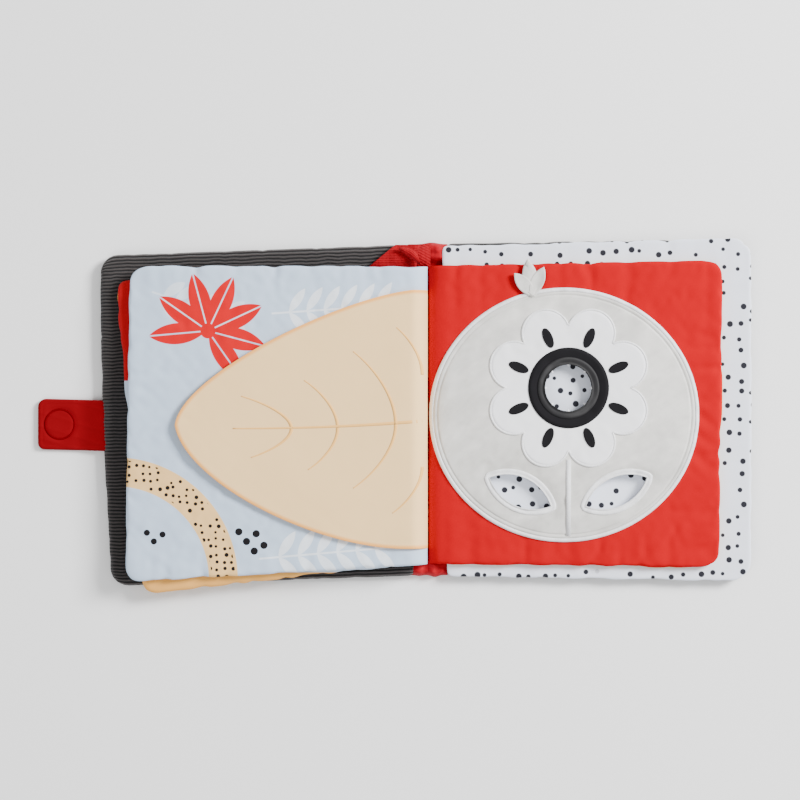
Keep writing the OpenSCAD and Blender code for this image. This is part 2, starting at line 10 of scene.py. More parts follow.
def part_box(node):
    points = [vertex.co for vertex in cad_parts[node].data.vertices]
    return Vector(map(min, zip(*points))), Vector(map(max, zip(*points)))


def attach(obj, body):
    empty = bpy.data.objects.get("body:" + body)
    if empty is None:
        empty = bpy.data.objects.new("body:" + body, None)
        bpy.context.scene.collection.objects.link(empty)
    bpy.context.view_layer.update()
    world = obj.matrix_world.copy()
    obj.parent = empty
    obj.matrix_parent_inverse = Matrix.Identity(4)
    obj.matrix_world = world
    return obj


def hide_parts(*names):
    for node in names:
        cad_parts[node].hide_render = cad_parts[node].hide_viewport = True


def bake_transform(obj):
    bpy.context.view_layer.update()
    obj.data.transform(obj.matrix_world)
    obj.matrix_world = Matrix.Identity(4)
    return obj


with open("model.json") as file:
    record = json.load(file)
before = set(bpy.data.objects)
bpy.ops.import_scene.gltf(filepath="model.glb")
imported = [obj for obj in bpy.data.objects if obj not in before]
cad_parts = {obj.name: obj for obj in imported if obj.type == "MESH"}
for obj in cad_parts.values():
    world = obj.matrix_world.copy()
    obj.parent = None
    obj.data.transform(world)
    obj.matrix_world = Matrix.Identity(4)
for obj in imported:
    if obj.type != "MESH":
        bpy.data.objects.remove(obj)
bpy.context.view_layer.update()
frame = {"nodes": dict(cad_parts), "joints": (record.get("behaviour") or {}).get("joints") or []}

mm = 0.001
print("Frame loaded:", len(frame["nodes"]), "nodes")

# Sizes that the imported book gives, in millimetres
hingeX = -frame["joints"][0]["pos_m"][0] / mm
coverTurn = math.radians(2)
ribPoints = 6  # points across one rib of the corduroy
layer = {name: (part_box(name)[0].z / mm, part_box(name)[1].z / mm) for name in frame["nodes"]}
pageTop = layer["upper_left_page"][1]
windowTop = layer["window_page"][1]


# Shaping

def slab(columns, rows, wrap=False, toPoint=False):
    # Closed sheet of cells: x and y run from 0 to 1, z is 0 below and 1 on top
    bm = bmesh.new()
    bmesh.ops.create_grid(bm, x_segments=columns, y_segments=rows, size=0.5)
    bmesh.ops.translate(bm, vec=(0.5, 0.5, 0), verts=bm.verts[:])
    raised = bmesh.ops.extrude_face_region(bm, geom=bm.faces[:])["geom"]
    bmesh.ops.translate(bm, vec=(0, 0, 1), verts=[g for g in raised if isinstance(g, bmesh.types.BMVert)])
    near = 0.1 / max(columns, rows)
    spare = [f for f in bm.faces if
             wrap and (all(v.co.x < near for v in f.verts) or all(v.co.x > 1 - near for v in f.verts))
             or toPoint and all(v.co.y < near for v in f.verts)]
    bmesh.ops.delete(bm, geom=spare, context="FACES_ONLY")
    bmesh.ops.recalc_face_normals(bm, faces=bm.faces[:])
    cells = bm.loops.layers.uv.new("cells")
    for face in bm.faces:
        for corner in face.loops:
            corner[cells].uv = corner.vert.co.xy
    return bm


def toObject(bm, name, material, merge=True, levels=0):
    if merge:
        bmesh.ops.remove_doubles(bm, verts=bm.verts[:], dist=0.0005)
    bmesh.ops.recalc_face_normals(bm, faces=bm.faces[:])
    bmesh.ops.scale(bm, vec=(mm, mm, mm), verts=bm.verts[:])
    mesh = bpy.data.meshes.new(name)
    bm.to_mesh(mesh)
    bm.free()
    mesh.materials.append(material)
    for face in mesh.polygons:
        face.use_smooth = True
    piece = bpy.data.objects.new(name, mesh)
    bpy.context.scene.collection.objects.link(piece)
    if levels:
        finer = piece.modifiers.new("Subdivision", "SUBSURF")
        finer.levels = finer.render_levels = levels
    return piece


def stops(length, step, first=(0,), last=(0,)):
    # Distances across a piece, closer together towards its edges
    start, end = first[-1], length - last[-1]
    count = max(1, round((end - start) / step))
    middle = [start + (end - start) * i / count for i in range(1, count)]
    return [*first, *middle, *(length - d for d in reversed(last))]


def intoCorner(x, y, width, height, radii, sewnInner):
    # Bends a rectangle's corners into arcs, and gives the distance from the edge
    outer, head = sewnInner or x > width / 2, y > height / 2
    r = radii[(2 if head else 1) if outer else (3 if head else 0)]
    dx = width - x if outer else x
    dy = min(y, height - y)
    a, b = 1 - dx / r, 1 - dy / r
    if a <= 0 or b <= 0:
        return x, y, min(dx, dy)
    a, b = a * math.sqrt(1 - b * b / 2), b * math.sqrt(1 - a * a / 2)
    dx, dy = r * (1 - a), r * (1 - b)
    return (width - dx if outer else dx), (height - dy if head else dy), r * (1 - math.hypot(a, b))


def crease(t, pitch, seed):
    # Narrow creases at uneven distances along a sewn edge
    n = noise.noise(Vector((t / pitch, seed * 3.71, 0.37)))
    return max(0.0, 1 - 3.4 * abs(n)) ** 1.5


def turned(x, y, angle):
    return x * math.cos(angle) - y * math.sin(angle), x * math.sin(angle) + y * math.cos(angle)


def makePad(name, piece, material, levels=1):
    # Sewn pad from its four corners: tail inner, tail outer, head outer, head inner
    corners = [Vector(c) for c in piece["corners"]]
    low, high = piece["levels"]
    width = ((corners[1] - corners[0]).length + (corners[2] - corners[3]).length) / 2
    height = ((corners[3] - corners[0]).length + (corners[2] - corners[1]).length) / 2
    sewn = "seam" in piece
    edge = piece.get("edge", (0, 0.6, 1.5, 3))
    xs = stops(width, piece["step"], (0, 0.4, 1, 1.8, 2.8, 4, 5.5, 7.3, 9.2) if sewn else edge, edge)
    ribbed = "ribs" in piece
    if ribbed:
        count = round(height / piece["ribs"]["pitch"] * ribPoints)
        ys = [height * i / count for i in range(count + 1)]
    else:
        ys = stops(height, piece["step"], edge, edge)
    bm = slab(len(xs) - 1, len(ys) - 1)
    groove = bm.verts.layers.float.new("groove")
    side = bm.verts.layers.float.new("side")
    away = bm.verts.layers.float.new("edgeAway")
    seed = piece["seed"]
    middle = (low + high) / 2
    centre = sum(corners, Vector((0, 0))) / 4
    for v in bm.verts:
        top = v.co.z > 0.5
        i, j = round(v.co.x * (len(xs) - 1)), round(v.co.y * (len(ys) - 1))
        x, y, d = intoCorner(xs[i], ys[j], width, height, piece["radii"], sewn)
        share, tall = x / width, y / height
        p = corners[0].lerp(corners[1], share).lerp(corners[3].lerp(corners[2], share), tall)
        reach = piece["creaseReach"]
        edges = [(y, width - x, 1), (x, y, 2), (x, height - y, 3)]
        folds = sum(crease(t + 31 * k, piece["creasePitch"], seed + k) * math.exp(-max(0, e) / reach)
                    for t, e, k in edges)
        p = p + (centre - p).normalized() * piece["pull"] * folds * math.exp(-d / 4)
        p.x += piece.get("bow", 0) * share * 4 * tall * (1 - tall)
        tuckDepth = 0
        for start, end, depth in piece.get("tucks", ()):
            run = Vector(end) - Vector(start)
            t = max(0, min(1, (p - Vector(start)).dot(run) / run.length_squared))
            off = (p - Vector(start) - run * t).length
            tuckDepth += depth * (1 - t) ** 0.7 * math.exp(-(off / 1.5) ** 2)
            p = p + (centre - p).normalized() * 0.8 * depth * math.exp(-(off / 3) ** 2 - d / 2)
        for spot, spread, out in piece.get("proud", ()):
            if not top:
                p = p - (centre - p).normalized() * out * math.exp(-((p - Vector(spot)).length / spread) ** 4 - d)
        soft = piece["soft"]
        plump = math.sqrt(max(0, 1 - (1 - min(d, soft) / soft) ** 2))
        roll = 0.5 + 0.5 * noise.noise(Vector((p.x / 34, p.y / 34, seed * 5.3))) \
            + 0.3 * noise.noise(Vector((p.x / 13, p.y / 13, seed * 7.7)))
        half = (high - low) / 2 * max(0.08, plump * (1 - piece["sag"] * roll))
        inward = (piece["crease"] * folds * (1 - math.exp(-d / 2)) + tuckDepth) * plump
        for spot, depth, spread in piece.get("pinches", ()):
            inward += depth * (high - low) / 2 * math.exp(-(max(0, spot(p)) / spread) ** 2)
        half = max(0.1, half - inward * (1 if top else 0.4))
        z = middle + (half if top else -half)
        if ribbed:
            phase = 2 * math.pi * j / ribPoints
            cut = ((1 + math.cos(phase)) / 2) ** 1.4
            # Groove depth; the corduroy material also paints shade into the grooves and a highlight onto the crests
            # from it
            v[groove] = cut
            wave = (noise.noise(Vector((p.x / 15, p.y / 26, seed))) * 0.45
                    + noise.noise(Vector((p.x / 4.5, p.y / 12, seed))) * 0.5) * piece["ribs"]["wave"]
            p = p + Vector((0, wave * min(1, d / 5)))
            if piece["ribs"]["top"] or not top:
                z += piece["ribs"]["depth"] * cut * (-1 if top else 1)
        if sewn:
            t = min(1, abs(p.x) / hingeX)
            rise = math.sqrt(1 - (1 - t) ** 2)
            foot = piece["seam"][1 if top else 0]
            z = foot + rise * (z - foot)
        v[side] = 1 if top else 0
        v[away] = min(d, abs(p.x) - hingeX) if sewn else d
        v.co = (p.x, p.y, z)
    pad = toObject(bm, name, material, merge=False, levels=levels)
    if "cloth" in piece:
        plumpUp(pad, piece["cloth"])
    return pad


def plumpUp(obj, cloth):
    # Cloth simulation: air presses the slack fabric out, the sewn edge holds it and it puckers there.
    # The piece is ten times as large meanwhile, and no point moves further than the filling lets it
    mesh = obj.data
    first = [v.co / mm for v in mesh.vertices]
    held = obj.vertex_groups.new(name="seam")
    cells = mesh.attributes["edgeAway"].data
    sides = mesh.attributes["side"].data
    for v, cell, part in zip(mesh.vertices, cells, sides):
        fixed = 1 if part.value < 0.5 else max(0.0, 1 - cell.value / cloth["seamWidth"])
        held.add([v.index], fixed, "REPLACE")
    mesh.transform(Matrix.Scale(10, 4))
    sim = obj.modifiers.new("Cloth", "CLOTH")
    settings = sim.settings
    settings.quality = 6
    settings.mass = cloth["mass"]
    settings.tension_stiffness = settings.compression_stiffness = cloth["stiffness"]
    settings.shear_stiffness = cloth["stiffness"] / 3
    settings.bending_stiffness = cloth["bending"]
    settings.use_pressure = True
    settings.uniform_pressure_force = cloth["pressure"]
    settings.shrink_min = -cloth["slack"]
    settings.use_internal_springs = True
    settings.internal_spring_max_length = cloth["filling"] * 10 * mm
    settings.internal_tension_stiffness = settings.internal_compression_stiffness = cloth["hold"]
    settings.vertex_group_mass = "seam"
    settings.effector_weights.gravity = 0
    finer = obj.modifiers.get("Subdivision")
    if finer:
        finer.show_viewport = False
    obj.modifiers.move(len(obj.modifiers) - 1, 0)
    scene = bpy.context.scene
    for frameNumber in range(1, cloth["frames"] + 1):
        scene.frame_set(frameNumber)
    graph = bpy.context.evaluated_depsgraph_get()
    shaped = obj.evaluated_get(graph).to_mesh()
    moved = [v.co / (10 * mm) for v in shaped.vertices]
    obj.evaluated_get(graph).to_mesh_clear()
    obj.modifiers.remove(sim)
    scene.frame_set(1)
    if finer:
        finer.show_viewport = True
    sides = mesh.attributes["side"].data
    for v, start, end, part in zip(mesh.vertices, first, moved, sides):
        step = end - start
        step.x, step.y = (max(-cloth["along"], min(cloth["along"], c)) for c in (step.x, step.y))
        step.z = max(-cloth["down"], min(cloth["up"], step.z)) if part.value > 0.5 else \
            max(-0.2, min(cloth["down"], step.z))
        v.co = (start + step) * mm
    print("Cloth of", obj.name, "moved up to %.2f mm" % max((b - a).length for a, b in zip(first, moved)))


def surfaceOf(obj):
    # Height of a piece's upper face at a place, in millimetres
    graph = bpy.context.evaluated_depsgraph_get()
    tree = BVHTree.FromObject(obj, graph)
    def heightAt(x, y, otherwise=0.0):
        hit = tree.ray_cast(Vector((x * mm, y * mm, 0.1)), Vector((0, 0, -1)))[0]
        return hit.z / mm if hit else otherwise
    return heightAt


def layOn(bm, spot, heightAt, lift, thick, otherwise=0.0):
    # Lays a slab on a surface: spot gives the place of each of its points
    for v in bm.verts:
        x, y, *more = spot(v.co.x, v.co.y)
        v.co = (x, y, heightAt(x, y, otherwise) + lift + sum(more) + (thick if v.co.z > 0.5 else 0))
    return bm


def leafHalf(share, length, width):
    # Half width of a pointed leaf at a share of its length from its middle, -1 to 1
    r = (length ** 2 + width ** 2) / (4 * width)
    return math.sqrt(max(0, r * r - (share * length / 2) ** 2)) - (r - width / 2)


def leafOutline(length, width, steps):
    points = []
    for side in (1, -1):
        for i in range(steps):
            share = side * math.cos(math.pi * i / steps)
            points.append((share * length / 2, side * leafHalf(share, length, width)))
    return points


def stitchedBand(outline, profile, surface, pieceName, material, tooth=0.05):
    # Satin-stitched band along a closed outline that runs anticlockwise.
    # profile holds (distance outwards, height over the surface), and a third entry gives a fixed level
    count = len(outline)
    bm = bmesh.new()
    bmesh.ops.create_grid(bm, x_segments=count, y_segments=len(profile), size=0.5)
    bmesh.ops.translate(bm, vec=(0.5, 0.5, 0), verts=bm.verts[:])
    cells = bm.loops.layers.uv.new("cells")
    for face in bm.faces:
        for corner in face.loops:
            corner[cells].uv = corner.vert.co.xy
    for v in bm.verts:
        i, k = round(v.co.x * count) % count, round(v.co.y * len(profile)) % len(profile)
        before, here, after = (Vector(outline[(i + s) % count][:2]) for s in (-1, 0, 1))
        run = (after - before).normalized()
        out = Vector((run.y, -run.x))
        entry = profile[k]
        p = here + out * entry[0]
        if len(entry) > 2:
            z = entry[2]
        else:
            z = surface(p.x, p.y, surface(here.x, here.y, windowTop)) + entry[1] \
                + (tooth * (i % 2) if entry[1] > 0.2 else 0)
        v.co = (p.x, p.y, z)
    return toObject(bm, pieceName, material)


def evenly(points, step):
    # The same closed line with points at even distances
    ends = [Vector(p) for p in points] + [Vector(points[0])]
    runs = [(b - a).length for a, b in zip(ends, ends[1:])]
    count = max(8, round(sum(runs) / step))
    spaced, i, gone = [], 0, 0.0
    for k in range(count):
        at = sum(runs) * k / count
        while i < len(runs) - 1 and gone + runs[i] < at:
            gone += runs[i]
            i += 1
        spaced.append(ends[i].lerp(ends[i + 1], min(1, (at - gone) / max(runs[i], 1e-9))))
    return spaced


# Materials

def linear(hexColour):
    def channel(c):
        return c / 12.92 if c <= 0.04045 else ((c + 0.055) / 1.055) ** 2.4
    return [channel(int(hexColour[i:i + 2], 16) / 255) for i in (1, 3, 5)] + [1]


def addNode(tree, kind, settings=None, links=None):
    # Adds a node, sets its properties or sockets and links its inputs
    node = tree.nodes.new("ShaderNode" + kind)
    for key, value in (settings or {}).items():
        if isinstance(key, str) and hasattr(node, key):
            setattr(node, key, value)
        else:
            node.inputs[key].default_value = value
    for key, source in (links or {}).items():
        tree.links.new(source, node.inputs[key])
    return node


def makeFabric(name, cloth, paint=None):
    # Woven cloth: even threads with small uneven spots, and shading that varies over a few centimetres
    material = bpy.data.materials.new(name)
    material.use_nodes = True
    tree = material.node_tree
    shader = tree.nodes["Principled BSDF"]
    shader.inputs["Roughness"].default_value = cloth["roughness"]
    shader.inputs["Specular IOR Level"].default_value = cloth.get("specular", 0.12)
    shader.inputs["Sheen Weight"].default_value = cloth.get("sheen", 0.06)
    shader.inputs["Sheen Roughness"].default_value = cloth.get("sheenRoughness", 0.5)
    place = addNode(tree, "TexCoord").outputs["Object"]
    spots = addNode(tree, "TexNoise", {"Scale": 1 / (cloth.get("mottle", 9) * mm), "Detail": 4}, {"Vector": place})
    colour = addNode(tree, "RGB").outputs[0]
    colour.default_value = linear(cloth["colour"])
    if paint:
        colour = paint(tree, place, colour)
    shade = addNode(tree, "MapRange", {"To Min": 1 - cloth.get("uneven", 0.05), "To Max": 1 + cloth.get("uneven", 0.05)},
                    {"Value": spots.outputs[0]})
    mixed = addNode(tree, "Mix", {"data_type": "RGBA", "blend_type": "MULTIPLY", "Factor": 1.0},
                    {6: colour, 7: shade.outputs[0]})
    tree.links.new(mixed.outputs[2], shader.inputs["Base Color"])
    # The threads are drawn coarser than real ones, so that the weave shows
    heights = []
    for axis in ("X", "Y"):
        wave = addNode(tree, "TexWave", {"wave_type": "BANDS", "bands_direction": axis, "Distortion": 0.6,
                                         "Scale": 0.314 / (cloth["thread"] * mm), "Detail": 1.0}, {"Vector": place})
        heights.append(wave.outputs["Fac"])
    weave = addNode(tree, "Math", {"operation": "MAXIMUM"}, {0: heights[0], 1: heights[1]})
    grain = addNode(tree, "TexNoise", {"Scale": 1 / (cloth.get("grain", 0.7) * mm), "Detail": 3}, {"Vector": place})
    rough = addNode(tree, "Math", {"operation": "MULTIPLY_ADD", 1: cloth.get("fuzz", 0.5)},
                    {0: grain.outputs[0], 2: weave.outputs[0]})
    bump = addNode(tree, "Bump", {"Strength": cloth.get("bump", 0.25), "Distance": cloth.get("relief", 0.08) * mm},
                   {"Height": rough.outputs[0]})
    tree.links.new(bump.outputs[0], shader.inputs["Normal"])
    return material


def work(tree, known, steps):
    # Works out named values in turn: each step is (name, operation, numbers or earlier names)
    for name, operation, *inputs in steps:
        numbers = {i: v for i, v in enumerate(inputs) if not isinstance(v, str)}
        names = {i: known[v] for i, v in enumerate(inputs) if isinstance(v, str)}
        known[name] = addNode(tree, "Math", {"operation": operation, **numbers}, names).outputs[0]
    return known


def printed(tree, colour, fields):
    # Lays printed fields over a ground colour, each where its mask is above zero
    for mask, hexColour in fields:
        on = addNode(tree, "MapRange", {"From Min": -0.12, "From Max": 0.12}, {"Value": mask})
        colour = addNode(tree, "Mix", {"data_type": "RGBA", 7: linear(hexColour)},
                         {0: on.outputs[0], 6: colour}).outputs[2]
    return colour


def placeInMm(tree, place, x=0, y=0, angle=0):
    # Position in millimetres from a point, turned back by an angle
    moved = addNode(tree, "Mapping", {"vector_type": "TEXTURE", "Location": (x * mm, y * mm, 0), "Scale": (mm, mm, mm),
                                      "Rotation": (0, 0, math.radians(angle))}, {"Vector": place})
    axes = addNode(tree, "SeparateXYZ", None, {0: moved.outputs[0]})
    return {"x": axes.outputs[0], "y": axes.outputs[1], "z": axes.outputs[2], "p": moved.outputs[0]}


def lens(length, width):
    # Steps for the inside of a pointed leaf of which u runs along and v across
    r = (length ** 2 + width ** 2) / (4 * width)
    return [("uu", "MULTIPLY", "u", "u"), ("left", "SUBTRACT", r * r, "uu"), ("safe", "MAXIMUM", "left", 0),
            ("arc", "SQRT", "safe"), ("half", "SUBTRACT", "arc", r - width / 2), ("far", "ABSOLUTE", "v"),
            ("mask", "SUBTRACT", "half", "far")]


def fingerLeaf(tree, place, x, y, angle, length, width, apart, fingers):
    # Leaf of several leaflets spread like fingers
    known = placeInMm(tree, place, x, y, angle)
    step = math.radians(apart)
    return work(tree, known, [
        ("turn", "ARCTAN2", "y", "x"), ("part", "DIVIDE", "turn", step), ("near", "ROUND", "part"),
        ("low", "MAXIMUM", "near", -(fingers // 2)), ("which", "MINIMUM", "low", fingers // 2),
        ("back", "MULTIPLY", "which", step), ("local", "SUBTRACT", "turn", "back"),
        ("xx", "MULTIPLY", "x", "x"), ("yy", "MULTIPLY", "y", "y"), ("rr", "ADD", "xx", "yy"), ("r", "SQRT", "rr"),
        ("cos", "COSINE", "local"), ("sin", "SINE", "local"), ("along", "MULTIPLY", "r", "cos"),
        ("u", "SUBTRACT", "along", length / 2 + 1), ("v", "MULTIPLY", "r", "sin"), *lens(length, width),
        ("vein", "SUBTRACT", "far", 0.35), ("shape", "MINIMUM", "mask", "vein"),
        ("heart", "SUBTRACT", width * 0.36, "r"), ("leaf", "MAXIMUM", "shape", "heart")])["leaf"]


def spray(tree, place, x, y, angle, pairs, apart, length, width, lean):
    # Pairs of leaflets along a stem
    known = placeInMm(tree, place, x, y, angle)
    turn = math.radians(lean)
    return work(tree, known, [
        ("across", "ABSOLUTE", "y"), ("shift", "MULTIPLY", "across", 1 / math.tan(turn)),
        ("foot", "SUBTRACT", "x", "shift"), ("part", "DIVIDE", "foot", apart), ("near", "ROUND", "part"),
        ("low", "MAXIMUM", "near", 1), ("which", "MINIMUM", "low", pairs), ("start", "MULTIPLY", "which", apart),
        ("dx", "SUBTRACT", "x", "start"), ("a", "MULTIPLY", "dx", math.cos(turn)),
        ("b", "MULTIPLY", "across", math.sin(turn)), ("c", "MULTIPLY", "dx", -math.sin(turn)),
        ("d", "MULTIPLY", "across", math.cos(turn)), ("reach", "ADD", "a", "b"),
        ("u", "SUBTRACT", "reach", length / 2), ("v", "ADD", "c", "d"), *lens(length, width),
        ("stem", "SUBTRACT", 0.5, "across"), ("past", "SUBTRACT", "x", pairs * apart + length * 0.5),
        ("ends", "MULTIPLY", "past", -1), ("from", "MINIMUM", "ends", "x"), ("stalk", "MINIMUM", "stem", "from"),
        ("shape", "MAXIMUM", "mask", "stalk")])["shape"]


def spotted(tree, place, pitch, size, keep):
    # Scattered round dots: more than zero inside a dot
    cells = addNode(tree, "TexVoronoi", {"voronoi_dimensions": "2D", "Scale": 1.0, "Randomness": 0.55},
                    {"Vector": addNode(tree, "Mapping", {"Scale": (1 / (pitch * mm),) * 3}, {"Vector": place}).outputs[0]})
    tint = addNode(tree, "SeparateColor", None, {0: cells.outputs["Color"]})
    known = {"away": cells.outputs["Distance"], "one": tint.outputs[0], "two": tint.outputs[1]}
    return work(tree, known, [
        ("more", "MULTIPLY_ADD", "one", 0.5 * size, 0.75 * size), ("mm", "MULTIPLY", "away", pitch),
        ("in", "SUBTRACT", "more", "mm"), ("kept", "SUBTRACT", keep, "two"), ("wide", "MULTIPLY", "kept", 40),
        ("dot", "MINIMUM", "in", "wide")])["dot"]


# Printed and sewn colours

def leftPagePrint(tree, place, colour):
    known = work(tree, placeInMm(tree, place, *bandMiddle), [
        ("xx", "MULTIPLY", "x", "x"), ("yy", "MULTIPLY", "y", "y"), ("rr", "ADD", "xx", "yy"), ("r", "SQRT", "rr"),
        ("off", "SUBTRACT", "r", 56), ("far", "ABSOLUTE", "off"), ("band", "SUBTRACT", 7.5, "far"),
        ("inner", "SUBTRACT", 6.2, "far")])
    known["dots"] = spotted(tree, place, 3.8, 0.9, 0.9)
    work(tree, known, [("speckle", "MINIMUM", "inner", "dots")])
    faint = spray(tree, place, -143, 61, -18, 7, 6.5, 13, 5.5, 50)
    upper = spray(tree, place, -81, 49.8, 4, 6, 9, 15, 4.5, 52)
    lower = spray(tree, place, -87.4, -77.2, 5, 6, 10, 16, 5, 52)
    leaf = fingerLeaf(tree, place, -114, 40.8, 65, 30, 11, 40, 7)
    side = addNode(tree, "Attribute", {"attribute_name": "side"}).outputs["Fac"]
    under = work(tree, {"side": side}, [("under", "SUBTRACT", 0.3, "side")])["under"]
    return printed(tree, colour, [(faint, "#d6e1ec"), (upper, "#e6edf5"), (lower, "#e6edf5"), (known["band"], "#f0c484"),
                                  (known["speckle"], "#141315"), (leaf, "#cc0614"), (under, "#dde4eb")])


def lowerPagePrint(tree, place, colour):
    # Only the edges of this page show: a dark red field, a pale one and a tan foot
    known = work(tree, placeInMm(tree, place), [
        ("above", "SUBTRACT", "y", 15), ("outside", "SUBTRACT", -150, "x"), ("red", "MINIMUM", "above", "outside"),
        ("fore", "SUBTRACT", -161.2, "x"), ("line", "MINIMUM", "above", "fore"), ("foot", "SUBTRACT", -84.5, "y")])
    return printed(tree, colour, [(known["red"], "#b00410"), (known["line"], "#e8bd5e"), (known["foot"], "#e8ab5a")])


def windowPagePrint(tree, place, colour):
    # The page's other face is a warm yellow, which shows as a line along the edges
    side = addNode(tree, "Attribute", {"attribute_name": "side"}).outputs["Fac"]
    under = work(tree, {"side": side}, [("under", "SUBTRACT", 0.42, "side")])["under"]
    return printed(tree, colour, [(under, "#e8b64a")])


def liningPrint(tree, place, colour):
    side = addNode(tree, "Attribute", {"attribute_name": "side"}).outputs["Fac"]
    known = {"dots": spotted(tree, place, 7.3, 1.3, 0.84), "side": side}
    onTop = work(tree, known, [("top", "SUBTRACT", "side", 0.3), ("on", "MINIMUM", "dots", "top")])["on"]
    return printed(tree, colour, [(onTop, "#26262d")])


def corduroyPileShading(tree, place, colour):
    # Cut pile: a painted highlight on the rounded wales and painted shade in the grooves between them, which go nearly
    # black
    groove = addNode(tree, "Attribute", {"attribute_name": "groove"}).outputs["Fac"]
    spread = addNode(tree, "ValToRGB", None, {"Fac": groove})
    # The crest colour is a painted highlight and the groove colour is painted shade
    spread.color_ramp.elements[0].color = linear("#45403f")
    spread.color_ramp.elements[1].color = linear("#0b0a0b")
    middle = spread.color_ramp.elements.new(0.4)
    middle.color = linear("#272425")
    return spread.outputs[0]


def velourNapShading(tree, place, colour):
    # Painted shade and sheen: the nap lies this way and that after handling and catches the light unevenly, and this is
    # painted into the grey as lighter and darker soft streaks
    known = placeInMm(tree, place, 70, 0, 35)
    brushed = addNode(tree, "Mapping", {"Scale": (1 / 26, 1 / 9, 1)}, {"Vector": known["p"]}).outputs[0]
    streaks = addNode(tree, "TexNoise", {"Scale": 1.0, "Detail": 3, "Roughness": 0.6}, {"Vector": brushed})
    broad = addNode(tree, "TexNoise", {"Scale": 1 / 38, "Detail": 1}, {"Vector": known["p"]})
    both = addNode(tree, "Math", {"operation": "ADD"}, {0: streaks.outputs[0], 1: broad.outputs[0]})
    tone = addNode(tree, "MapRange", {"From Min": 0.7, "From Max": 1.3, "To Min": 0.8, "To Max": 1.12},
                   {"Value": both.outputs[0]})
    return addNode(tree, "Mix", {"data_type": "RGBA", "blend_type": "MULTIPLY", "Factor": 1.0},
                   {6: colour, 7: tone.outputs[0]}).outputs[2]


def flapPrint(tree, place, colour):
    edge = addNode(tree, "Attribute", {"attribute_name": "edge"}).outputs["Fac"]
    fade = addNode(tree, "MapRange", {"From Min": 0.7, "From Max": 2.4, "To Min": 1.0, "To Max": 0.0,
                                      "interpolation_type": "SMOOTHSTEP"}, {"Value": edge})
    return addNode(tree, "Mix", {"data_type": "RGBA", 7: linear("#fbb25e")}, {0: fade.outputs[0], 6: colour}).outputs[2]


bandMiddle = (-162, -88.2)
cloths = {
    # Cotton canvas print: flat, dry colour with a fine even weave
    "page_pale": ({"colour": "#bdcfe4", "roughness": 0.82, "thread": 0.5, "uneven": 0.025}, leftPagePrint),
    "lower_page": ({"colour": "#bdcddf", "roughness": 0.82, "thread": 0.5, "uneven": 0.03}, lowerPagePrint),
    "page_red": ({"colour": "#b30012", "roughness": 0.9, "specular": 0.03, "sheen": 0.0, "thread": 0.5, "uneven": 0.04},
                 windowPagePrint),
    "lining": ({"colour": "#e6ebf7", "roughness": 0.8, "thread": 0.5, "uneven": 0.02}, liningPrint),
    "flap": ({"colour": "#fbd296", "roughness": 0.78, "thread": 0.5, "uneven": 0.02}, flapPrint),
    "flap_orange": ({"colour": "#f9bf6c", "roughness": 0.8, "thread": 0.5}, None),
    "print_black": ({"colour": "#161417", "roughness": 0.8, "thread": 0.5}, None),
    # Corduroy: thick soft pile, so a broad sheen and no gloss
    "corduroy": ({"colour": "#3b3739", "roughness": 0.95, "thread": 0.6, "sheen": 0.35, "bump": 0.5, "relief": 0.2,
                  "grain": 0.35, "uneven": 0.14, "mottle": 2.2, "fuzz": 1.4, "specular": 0.1}, corduroyPileShading),
    # Plain weave in the spine and the closing tab: a low sheen on the folds
    "spine_red": ({"colour": "#a40016", "roughness": 0.62, "specular": 0.12, "sheen": 0.02, "thread": 0.45,
                   "uneven": 0.07}, None),
    "tab_red": ({"colour": "#7c000c", "roughness": 0.68, "specular": 0.06, "sheen": 0.02, "thread": 0.45,
                 "uneven": 0.06}, None),
    "closer_dark": ({"colour": "#5e0512", "roughness": 0.95, "thread": 0.9, "bump": 0.7, "relief": 0.3}, None),
    "closer_grey": ({"colour": "#2c2a2c", "roughness": 0.95, "thread": 0.9, "bump": 0.7, "relief": 0.3}, None),
    # Velour: short napped pile that scatters light softly
    "velour": ({"colour": "#d8d6d1", "roughness": 0.95, "thread": 0.6, "sheen": 0.4, "sheenRoughness": 0.3,
                "uneven": 0.08, "mottle": 3.5, "grain": 0.5, "fuzz": 1.6, "bump": 0.4, "specular": 0.1}, velourNapShading),
    "cotton_white": ({"colour": "#fafafd", "roughness": 0.85, "thread": 0.6, "uneven": 0.015}, None),
    "cotton_black": ({"colour": "#151417", "roughness": 0.85, "thread": 0.6, "uneven": 0.1}, None),
    # Grosgrain ribbon: fine ribs across, matt with a slight sheen on the folds
    "grosgrain": ({"colour": "#a00012", "roughness": 0.6, "specular": 0.1, "thread": 0.7, "bump": 0.9, "relief": 0.25,
                   "fuzz": 0.2, "uneven": 0.08}, None),
    "thread_red": ({"colour": "#a81422", "roughness": 0.6, "thread": 0.4}, None),
    "thread_wine": ({"colour": "#6c000b", "roughness": 0.8, "thread": 0.4, "specular": 0.03, "sheen": 0.0}, None),
}
made = {name: makeFabric(name, cloth, paint) for name, (cloth, paint) in cloths.items()}


